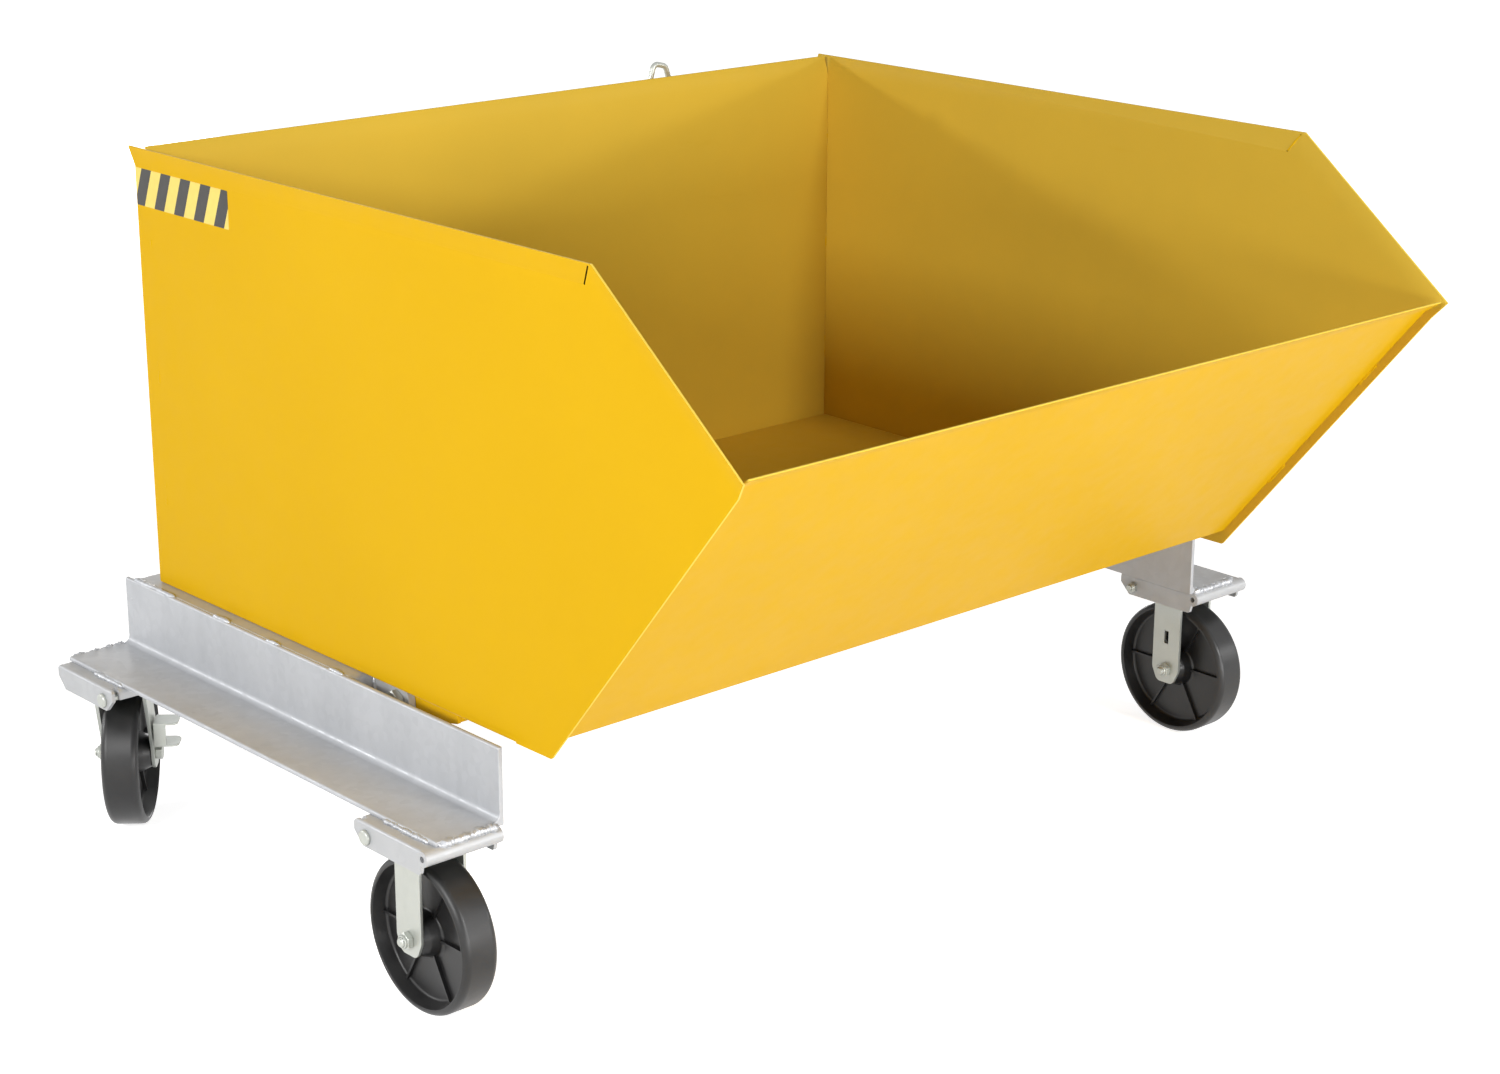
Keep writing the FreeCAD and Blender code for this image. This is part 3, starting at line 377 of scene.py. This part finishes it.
def sweepRings(mesh, origin, axis, rings, closed):
    around = fastenerLook["around"]
    up = Vector((0, 0, 1))
    side = axis.cross(up)
    turns = [2 * math.pi * k / around for k in range(around)]
    loops = []
    for t, radiusAt in rings:
        loop = []
        for angle in turns:
            out = up * math.cos(angle) + side * math.sin(angle)
            loop.append(mesh.verts.new(origin + axis * t + out * radiusAt(angle)))
        loops.append(loop)
    pairs = list(zip(loops, loops[1:]))
    if closed:
        pairs.append((loops[-1], loops[0]))
    else:
        mesh.faces.new(loops[0])
        mesh.faces.new(loops[-1])
    for a, b in pairs:
        for k in range(around):
            j = (k + 1) % around
            mesh.faces.new((a[k], a[j], b[j], b[k]))


def nutRings(height, flat, bore):
    look = fastenerLook
    top = height * look["hexShare"]
    collar = flat * look["collar"]
    return hexRings(0, top, flat) + [
        plainRing(top, collar),
        plainRing(height - look["round"], collar),
        plainRing(height - look["step"], collar - look["step"]),
        plainRing(height, collar - look["round"]),
        plainRing(height, bore + look["chamfer"]),
        plainRing(height - look["chamfer"], bore),
        plainRing(0, bore),
    ]


def boltRings(length, head, flat, shank):
    look = fastenerLook
    start = length - look["thread"]
    root = shank - look["depth"]
    rings = hexRings(0, head, flat) + [plainRing(head, shank), plainRing(start, shank)]
    count = int((look["thread"] - look["round"]) / (look["pitch"] / look["perTurn"]))
    for i in range(1, count + 1):
        t = start + i * look["pitch"] / look["perTurn"]

        def threadAt(angle, t=t, i=i):
            wave = (t / look["pitch"] + angle / (2 * math.pi)) % 1.0
            return shank - look["depth"] * (1 - abs(2 * wave - 1)) * min(1.0, i / look["perTurn"])
        rings.append((t, threadAt))
    return rings + [plainRing(length - look["step"], root), plainRing(length, root - look["chamfer"])]


def dressFastener(name, degrees):
    look = fastenerLook
    mesh = bmesh.new()
    for group in looseParts(cadNodes[name].data):
        middle = sum(group, Vector()) / len(group)
        turn = math.radians(degrees if degrees is not None else (0 if middle.x < 0 else 180))
        axis = Vector((math.cos(turn), math.sin(turn), 0))
        side = axis.cross(Vector((0, 0, 1)))
        along = [p.dot(axis) for p in group]
        across = [p.dot(side) for p in group]
        low, high = min(along), max(along)
        centre = side * ((min(across) + max(across)) / 2)
        centre.z = (min(p.z for p in group) + max(p.z for p in group)) / 2
        flat = (max(across) - min(across)) / 2
        reach = [((p - axis * t - centre).length, t) for p, t in zip(group, along)]
        if "nut" in name:
            rings = nutRings(high - low, flat, min(r for r, t in reach))
            sweepRings(mesh, centre + axis * low, axis, rings, True)
        else:
            shank = max(r for r, t in reach if t > high - 10 * sameSpot)
            head = max(t for r, t in reach if r > shank * look["headShare"]) - low
            sweepRings(mesh, centre + axis * low, axis, boltRings(high - low, head, flat, shank), False)
    bmesh.ops.recalc_face_normals(mesh, faces=mesh.faces)
    for face in mesh.faces:
        face.smooth = True
    placePiece(name, mesh, look["shade"])


for name, degrees in fastened.items():
    dressFastener(name, degrees)
print("fasteners turned and threaded:", len(fastened))


# soft edges: each plate and fitting gets the small round that its real edge has

edgeRound = {  # metres, by the words in a piece's name
    "tub_": 0.0011, "pivot_ear": 0.0010, "rail": 0.0012, "deck": 0.0012, "cross_tube": 0.0015,
    "lug": 0.0012, "pad_bolts": 0.0006, "pad": 0.0012, "fork": 0.0009, "top_plate": 0.0010,
    "kingpin_nut": 0.0010, "brake": 0.0007, "latch_catch": 0.0008, "latch_bracket": 0.0008,
    "latch_pin": 0.0008, "latch_lever": 0.0007,
}
softenLook = {"flat": 0.4, "sharp": 30, "shade": 40, "facing": 0.5}  # degrees; facing is a cosine


def roundFor(name):
    if name in fastened:
        return None
    for word, width in edgeRound.items():
        if word in name:
            return width
    return None


# directions from each plate into the tub, for the painted light tone on its inner face
intoTub = {
    "tub_left_side": (1, 0, 0), "tub_right_side": (-1, 0, 0), "tub_back_wall": (0, -1, 0),
    "tub_front_panel": (0, 0.771, 0.637), "tub_floor": (0, 0, 1),
}


# cut edges of a plate are narrow faces with sharp edges almost all round;
# the short ones high on the side plates are the walls of the slits
cutLook = {"width": 0.0045, "framed": 0.75, "longest": 0.10, "slitY": (-0.430, -0.370), "slitZ": 0.925}


def markCutEdges(mesh, sharp):
    look = cutLook
    edge = mesh.faces.layers.float.new("cutEdge")
    slit = mesh.faces.layers.float.new("slitWall")
    for face in mesh.faces:
        around = face.calc_perimeter()
        framed = sum(e.calc_length() for e in face.edges if e in sharp)
        if 2 * face.calc_area() / around > look["width"] or framed < look["framed"] * around:
            continue
        if max(e.calc_length() for e in face.edges) > look["longest"]:
            face[edge] = 1.0
            continue
        middle = face.calc_center_median()
        if look["slitY"][0] < middle.y < look["slitY"][1] and middle.z > look["slitZ"]:
            face[slit] = 1.0


def softenPiece(name, width):
    look = softenLook
    mesh = bmesh.new()
    mesh.from_mesh(cadNodes[name].data)
    bmesh.ops.remove_doubles(mesh, verts=mesh.verts, dist=sameSpot)
    bmesh.ops.dissolve_limit(mesh, angle_limit=math.radians(look["flat"]), verts=mesh.verts, edges=mesh.edges)
    least = math.radians(look["sharp"])
    sharp = [e for e in mesh.edges if len(e.link_faces) == 2 and e.calc_face_angle() > least]
    if name in intoTub:
        markCutEdges(mesh, set(sharp))
    bmesh.ops.bevel(mesh, geom=sharp, offset=width, offset_type="OFFSET", segments=2, profile=0.5,
                    affect="EDGES", clamp_overlap=True)
    for face in mesh.faces:
        face.smooth = True
    if name in intoTub:
        inside = mesh.faces.layers.float.new("inside")
        for face in mesh.faces:
            face[inside] = 1.0 if face.normal.dot(Vector(intoTub[name])) > look["facing"] else 0.0
    placePiece(name, mesh, look["shade"], padFinish if name.endswith("_caster_pad") else None)


softened = [name for name in sorted(cadNodes) if roundFor(name)]
for name in softened:
    softenPiece(name, roundFor(name))
print("edges rounded on", len(softened), "pieces")


# weld beads: rippled runs of filler along the joints

weldLook = {
    "step": 0.0016, "ripple": 0.0048, "sides": 10,
    "body": 0.80, "crest": 0.20, "sway": 0.10, "quick": 1.3, "slow": 0.37, "drift": 0.6,  # waves along a bead
    "tip": 0.35, "taper": 1.6, "phases": 6.3,
    "across": (0.31, 0.17, 0.93),  # a direction that no bead runs in
}


def weldBead(name, route, body, bead, nth=0, finish=None):
    look = weldLook
    size, crust = bead["size"], bead["crust"]
    rng = random.Random(bead["seed"] + nth)
    points = [Vector(p) for p in route]
    path = [points[0]]
    for a, b in zip(points, points[1:]):
        count = max(2, int((b - a).length / look["step"]))
        path += [a.lerp(b, i / count) for i in range(1, count + 1)]
    mesh = bmesh.new()
    rings = []
    travelled = 0.0
    wander = [rng.uniform(0, look["phases"]) for _ in range(3)]
    last = len(path) - 1
    for i, here in enumerate(path):
        along = (path[min(i + 1, last)] - path[max(i - 1, 0)]).normalized()
        side = along.cross(Vector(look["across"])).normalized()
        lift = along.cross(side)
        phase = travelled / look["ripple"]
        lump = look["body"] + look["crest"] * abs(math.sin(math.pi * phase))
        lump += look["sway"] * math.sin(phase * look["quick"] + wander[0])
        lump += look["sway"] * math.sin(phase * look["slow"] + wander[1])
        taper = min(1.0, look["tip"] + min(i, last - i) * look["step"] / (look["taper"] * size))
        drift = side * (look["sway"] * size * math.sin(phase * look["drift"] + wander[2]))
        ring = []
        for k in range(look["sides"]):
            angle = 2 * math.pi * k / look["sides"]
            radius = size * lump * taper * rng.uniform(1 - crust, 1 + crust)
            out = side * math.cos(angle) + lift * math.sin(angle)
            ring.append(mesh.verts.new(here + drift + out * radius))
        rings.append(ring)
        if i < last:
            travelled += (path[i + 1] - here).length
    for a, b in zip(rings, rings[1:]):
        for k in range(look["sides"]):
            j = (k + 1) % look["sides"]
            mesh.faces.new((a[k], a[j], b[j], b[k]))
    mesh.faces.new(reversed(rings[0]))
    mesh.faces.new(rings[-1])
    bmesh.ops.recalc_face_normals(mesh, faces=mesh.faces)
    for face in mesh.faces:
        face.smooth = True
    data = bpy.data.meshes.new(name)
    mesh.to_mesh(data)
    mesh.free()
    piece = bpy.data.objects.new(name, data)
    bpy.context.scene.collection.objects.link(piece)
    data.materials.append(finish or weldFinish)
    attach(piece, body)


# stitches and the rear toe runs are measured forward from the tub's back edge
seamLook = {
    "stitches": ((-0.036, 0.070), (0.168, 0.208), (0.296, 0.328), (0.440, 0.474)),
    "rearToe": (0.016, 0.088),
    "frontToe": (0.014, 0.104),  # back from the rail's front end
    "sunk": 0.001, "raised": 0.0012,
    "corner": (0.045, 0.004), "cornerInset": 0.002, "tubeInset": 0.002,
    "lug": (0.004, 0.006), "end": (0.008, 0.004),
    "stitchBead": {"size": 0.0044, "crust": 0.16, "seed": 11},
    "cornerBead": {"size": 0.0050, "crust": 0.20, "seed": 31},
    "tubeBead": {"size": 0.0038, "crust": 0.05, "seed": 23},
    "lugBead": {"size": 0.0042, "crust": 0.16, "seed": 27},
    "toeBead": {"size": 0.0044, "crust": 0.18, "seed": 37},
    "endBead": {"size": 0.0060, "crust": 0.28, "seed": 53},
}


def dressRailSeams(word, side):
    look = seamLook
    outside = 1 if side > 0 else 0  # corner of a box that lies on the outer side
    deck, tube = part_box("rear_deck"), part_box("pivot_cross_tube")
    rail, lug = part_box(word + "_rail"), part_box(word + "_pivot_lug")
    x = side * (trolley["railX"] + look["sunk"])
    top = trolley["feetZ"] - look["sunk"]
    for i, (start, stop) in enumerate(look["stitches"]):
        run = [(x, ahead(start), top), (x, ahead(stop), top)]
        weldBead("%s_deck_stitch_%d" % (word, i + 1), run, "base", look["stitchBead"], 4 * side + i)
    y = deck[1][1] - look["cornerInset"]
    run = [(x, y, top - drop) for drop in look["corner"]]
    weldBead(word + "_deck_corner_weld", run, "base", look["cornerBead"], side)
    run = [(x - side * look["tubeInset"], tube[1][1], end[2]) for end in tube]
    weldBead(word + "_tube_weld", run, "base", look["tubeBead"], side)
    face, (foot, head) = lug[outside][0], look["lug"]
    run = [(face, deck[0][1], lug[0][2] + foot), (face, deck[0][1], lug[1][2] - head)]
    weldBead(word + "_lug_weld", run, "base", look["lugBead"], side)
    toe, (inner, outer) = rail[outside][0], look["end"]
    toeRuns = {
        "front": [rail[0][1] + back for back in look["frontToe"]],
        "rear": [ahead(distance) for distance in look["rearToe"]],
    }
    for end, edge in (("front", rail[0][1]), ("rear", rail[1][1])):
        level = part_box(end + "_" + word + "_caster_pad")[1][2] + look["raised"]
        run = [(toe, y, level) for y in toeRuns[end]]
        weldBead(end + "_" + word + "_toe_weld", run, "base", look["toeBead"], side)
        run = [(x + side * inner, edge, level), (toe - side * outer, edge, level)]
        weldBead(end + "_" + word + "_end_weld", run, "base", look["endBead"], side)


for side, word in ((-1, "left"), (1, "right")):
    dressRailSeams(word, side)
print("weld beads on the base")


# the tub's seams are stitched and painted over

tubWeldLook = {
    "panelInset": 0.012, "lipY": -0.6632, "lipZ": 0.7641, "tipY": -0.3175, "wallY": 0.5255,
    "panelRun": (0.05, 0.50), "wallRun": (0.40, 0.90),
    "plateInset": 0.003, "earInset": 0.01, "channelInset": 0.05,
    "slit": ((0.6225, -0.3914, 0.9321), (0.6305, -0.4080, 0.9571)),  # the right rim's slit is welded shut
    "panelBead": {"size": 0.0030, "crust": 0.05, "seed": 101, "length": 0.045, "pitch": 0.15},
    "wallBead": {"size": 0.0034, "crust": 0.05, "seed": 141, "length": 0.045, "pitch": 0.15},
    "earBead": {"size": 0.0032, "crust": 0.05, "seed": 161, "length": 0.05, "pitch": 0.06},
    "channelBead": {"size": 0.0034, "crust": 0.05, "seed": 181, "length": 0.05, "pitch": 0.28},
    "slitBead": {"size": 0.0020, "crust": 0.05, "seed": 197},
}


def paintedBead(name, route, bead, nth=0):
    weldBead(name, route, "tub", bead, nth, finishes["tub_paint"])


def stitchRun(name, start, end, bead, nth=0):
    a, b = Vector(start), Vector(end)
    run = (b - a).length
    count = max(1, int(run / bead["pitch"]))
    reach = bead["length"] / run / 2
    for i in range(count):
        middle = (i + 0.5) / count
        route = [a.lerp(b, middle - reach), a.lerp(b, middle + reach)]
        paintedBead("%s_%02d" % (name, i + 1), route, bead, nth + i)


def dressTubSeams():
    look = tubWeldLook
    lip = Vector((0, look["lipY"], look["lipZ"]))
    tip = Vector((0, look["tipY"], trolley["feetZ"]))
    down = (tip - lip).normalized()
    into = Vector((0, -down.z, down.y))
    seam = [lip + into * look["panelInset"] + down * along for along in look["panelRun"]]
    for side, word in ((-1, "left"), (1, "right")):
        x = Vector((side * (trolley["sideX"] - look["plateInset"]), 0, 0))
        stitchRun("front_" + word + "_seam", seam[0] + x, seam[1] + x, look["panelBead"], side)
        wall = [(x.x, look["wallY"], z) for z in look["wallRun"]]
        stitchRun("back_" + word + "_seam", *wall, look["wallBead"], side)
        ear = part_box(word + "_pivot_ear")
        face, top = ear[1 if side > 0 else 0][0], ear[1][2]
        start = (face, ear[0][1] + look["earInset"], top)
        end = (face, ear[1][1] - look["earInset"], top)
        stitchRun(word + "_ear_seam", start, end, look["earBead"], side)
    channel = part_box("tub_cross_channel")
    for y, word in ((channel[0][1], "front"), (channel[1][1], "back")):
        start = (channel[0][0] + look["channelInset"], y, channel[1][2])
        end = (channel[1][0] - look["channelInset"], y, channel[1][2])
        stitchRun("channel_" + word + "_seam", start, end, look["channelBead"])
    paintedBead("right_rim_slit_weld", look["slit"], look["slitBead"])
    print("weld stitches on the tub")


dressTubSeams()


# striped tape near the top back corner of each side plate

tapeLook = {
    "back": 0.0015, "length": 0.2235, "top": 0.9305, "height": 0.0505, "lift": 0.00035,
    "corner": 0.0015, "cornerSteps": 4,
    "stripe": 0.0484, "lean": 0.42, "shift": 0.3, "darkShare": 0.5,
    "dark": (0.034, 0.032, 0.030), "worn": (0.060, 0.057, 0.053),
    "pale": (0.88, 0.70, 0.16), "dull": (0.82, 0.63, 0.13),
}


def makeTapeFinish():
    look = tapeLook
    finish, tree, shader, place = startFinish("stripedTape", Specular_IOR_Level=0.3)
    lean = addNode(tree, "ShaderNodeVectorMath", operation="DOT_PRODUCT")
    lean.inputs[1].default_value = (0.0, 1.0 / look["stripe"], look["lean"] / look["stripe"])
    joinNodes(tree, place, "Object", lean, 0)
    shift = addNode(tree, "ShaderNodeMath", operation="ADD")
    shift.inputs[1].default_value = look["shift"]
    joinNodes(tree, lean, "Value", shift, 0)
    turn = addNode(tree, "ShaderNodeMath", operation="FRACT")
    joinNodes(tree, shift, 0, turn, 0)
    step = addNode(tree, "ShaderNodeMath", operation="GREATER_THAN")
    step.inputs[1].default_value = look["darkShare"]
    joinNodes(tree, turn, 0, step, 0)
    speckle = addNoise(tree, place, scale=90.0, detail=5.0, rough=0.6)
    darkTone = addRamp(tree, speckle, "Fac", [(0.3, look["dark"]), (0.8, look["worn"])])
    paleTone = addRamp(tree, speckle, "Fac", [(0.2, look["dull"]), (0.7, look["pale"])])
    stripes = addMix(tree, step, 0, darkTone, "Color", paleTone, "Color")
    joinNodes(tree, stripes, 2, shader, "Base Color")
    joinNodes(tree, addRange(tree, speckle, "Fac", low=0.30, high=0.45), "Result", shader, "Roughness")
    addBump(tree, shader, [(speckle, "Fac", 0.05, 0.0004)])
    return finish


def makeTape(name, side, finish):
    look = tapeLook
    x = side * trolley["sideX"]
    y1, z1 = ahead(look["back"]), look["top"]
    y0, z0 = y1 - look["length"], z1 - look["height"]
    r = look["corner"]
    centres = ((y1 - r, z1 - r), (y0 + r, z1 - r), (y0 + r, z0 + r), (y1 - r, z0 + r))
    corners = []
    for quarter, (cy, cz) in enumerate(centres):
        for k in range(look["cornerSteps"] + 1):
            angle = math.radians(90 * quarter + 90 * k / look["cornerSteps"])
            corners.append((cy + r * math.cos(angle), cz + r * math.sin(angle)))
    mesh = bmesh.new()
    inner = [mesh.verts.new((x, y, z)) for y, z in corners]
    outer = [mesh.verts.new((x + side * look["lift"], y, z)) for y, z in corners]
    mesh.faces.new(inner)
    mesh.faces.new(outer)
    for i in range(len(corners)):
        j = (i + 1) % len(corners)
        mesh.faces.new((inner[i], inner[j], outer[j], outer[i]))
    bmesh.ops.recalc_face_normals(mesh, faces=mesh.faces)
    data = bpy.data.meshes.new(name)
    mesh.to_mesh(data)
    mesh.free()
    tape = bpy.data.objects.new(name, data)
    bpy.context.scene.collection.objects.link(tape)
    data.materials.append(finish)
    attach(tape, "tub")


tapeFinish = makeTapeFinish()
makeTape("left_stripe_tape", -1, tapeFinish)
makeTape("right_stripe_tape", 1, tapeFinish)
print("striped tape on the side plates")


# stage, light and camera

stageLook = {
    "floor": (0.86, 0.86, 0.86), "rough": 0.9, "size": 60.0, "world": 0.14,
    "lift": (0.78, 1.0), "reach": (1.2, 2.6),  # the floor's glow at two distances from the middle
}

# low softboxes for the outer faces; the high lamps look over the rim into the tub
lampLook = {
    "cornerSoftbox": {"place": (-3.9, -4.3, 0.46), "target": (0, 0, 0.40),
                      "size": (2.4, 0.7), "power": 17.0},
    "frontSoftbox": {"place": (0.2, -5.4, 0.44), "target": (0, 0, 0.50),
                     "size": (5.0, 0.7), "power": 131.0},
    "rearSoftbox": {"place": (3.2, 4.7, 0.46), "target": (0, 0.2, 0.46),
                    "size": (3.6, 0.7), "power": 110.0},
    "leftHighLamp": {"place": (-4.0, -0.8, 2.04), "target": (0.6, 0.2, 0.60),
                     "size": (1.5, 0.6), "power": 98.0},
    "frontHighLamp": {"place": (0.7, -5.2, 2.65), "target": (0.1, 0.5, 0.50),
                      "size": (0.7, 0.8), "power": 108.0},
    "backLeftLamp": {"place": (-4.2, 4.5, 2.15), "target": (0.3, 0, 0.80),
                     "size": (0.35, 0.35), "power": 72.0},
    "frontRightLamp": {"place": (4.4, -4.2, 1.79), "target": (-0.1, 0.3, 0.80),
                       "size": (0.35, 0.35), "power": 41.0},
}


def seenRays(tree):
    # 1 for camera, glossy and transmission rays
    rays = addNode(tree, "ShaderNodeLightPath")
    total = None
    for kind in ("Is Camera Ray", "Is Glossy Ray", "Is Transmission Ray"):
        step = addNode(tree, "ShaderNodeMath", {1: 0.0}, operation="MAXIMUM")
        joinNodes(tree, rays, kind, step, 0)
        if total:
            joinNodes(tree, total, 0, step, 1)
        total = step
    return total


def makeStage():
    look = stageLook
    bpy.ops.mesh.primitive_plane_add(size=look["size"], location=(0, 0, 0))
    floor = bpy.context.object
    floor.name = "studioFloor"
    finish, tree, shader, place = startFinish("studioFloorPaper", Specular_IOR_Level=0.0)
    shader.inputs["Base Color"].default_value = (*look["floor"], 1)
    shader.inputs["Roughness"].default_value = look["rough"]
    glow = addNode(tree, "ShaderNodeEmission")
    out = addNode(tree, "ShaderNodeVectorMath", operation="LENGTH")
    joinNodes(tree, place, "Object", out, 0)
    joinNodes(tree, addRange(tree, out, "Value", *look["lift"], *look["reach"]), "Result", glow, "Strength")
    dark = addNode(tree, "ShaderNodeEmission", {"Strength": 0.0})
    choose = addNode(tree, "ShaderNodeMixShader")
    joinNodes(tree, seenRays(tree), 0, choose, 0)
    joinNodes(tree, dark, 0, choose, 1)
    joinNodes(tree, glow, 0, choose, 2)
    total = addNode(tree, "ShaderNodeAddShader")
    joinNodes(tree, shader, 0, total, 0)
    joinNodes(tree, choose, 0, total, 1)
    joinNodes(tree, total, 0, tree.nodes["Material Output"], "Surface")
    floor.data.materials.append(finish)


def makeLight(name, place, target, size, power):
    lamp = bpy.data.lights.new(name, "AREA")
    lamp.shape = "RECTANGLE"
    lamp.size = size[0]
    lamp.size_y = size[1]
    lamp.energy = power
    holder = bpy.data.objects.new(name, lamp)
    holder.location = place
    holder.rotation_euler = (Vector(target) - Vector(place)).to_track_quat("-Z", "Y").to_euler()
    bpy.context.scene.collection.objects.link(holder)


def makeWorld():
    world = bpy.data.worlds.new("studioSurround")
    bpy.context.scene.world = world
    world.use_nodes = True
    tree = world.node_tree
    tree.nodes.clear()
    soft = addNode(tree, "ShaderNodeBackground", {"Color": (1, 1, 1, 1), "Strength": stageLook["world"]})
    white = addNode(tree, "ShaderNodeBackground", {"Color": (1, 1, 1, 1), "Strength": 1.0})
    choose = addNode(tree, "ShaderNodeMixShader")
    joinNodes(tree, seenRays(tree), 0, choose, 0)
    joinNodes(tree, soft, 0, choose, 1)
    joinNodes(tree, white, 0, choose, 2)
    joinNodes(tree, choose, 0, addNode(tree, "ShaderNodeOutputWorld"), "Surface")


cameraLook = {
    "place": (-2.5946, -2.8308, 1.6468), "turn": -42.294, "down": 17.816, "roll": 0.2266,  # degrees
    "lens": 69.672, "sensor": 36.0, "far": 100.0,
}


def makeCamera():
    look = cameraLook
    turn, down, roll = (math.radians(look[key]) for key in ("turn", "down", "roll"))
    forward = Vector((-math.sin(turn) * math.cos(down), math.cos(turn) * math.cos(down), -math.sin(down)))
    right = Vector((math.cos(turn), math.sin(turn), 0))
    up = right.cross(forward)
    rolledRight = right * math.cos(roll) + up * math.sin(roll)
    rolledUp = up * math.cos(roll) - right * math.sin(roll)
    camera = bpy.data.cameras.new("photoCamera")
    camera.sensor_fit = "HORIZONTAL"
    camera.sensor_width = look["sensor"]
    camera.lens = look["lens"]
    camera.clip_end = look["far"]
    holder = bpy.data.objects.new("photoCamera", camera)
    axes = Matrix((rolledRight, rolledUp, -forward)).transposed().to_4x4()
    holder.matrix_world = Matrix.Translation(look["place"]) @ axes
    bpy.context.scene.collection.objects.link(holder)
    bpy.context.scene.camera = holder


makeStage()
makeWorld()
for name, look in lampLook.items():
    makeLight(name, **look)
makeCamera()
bpy.context.scene.view_settings.view_transform = "Standard"
print("stage, lights and camera in place")
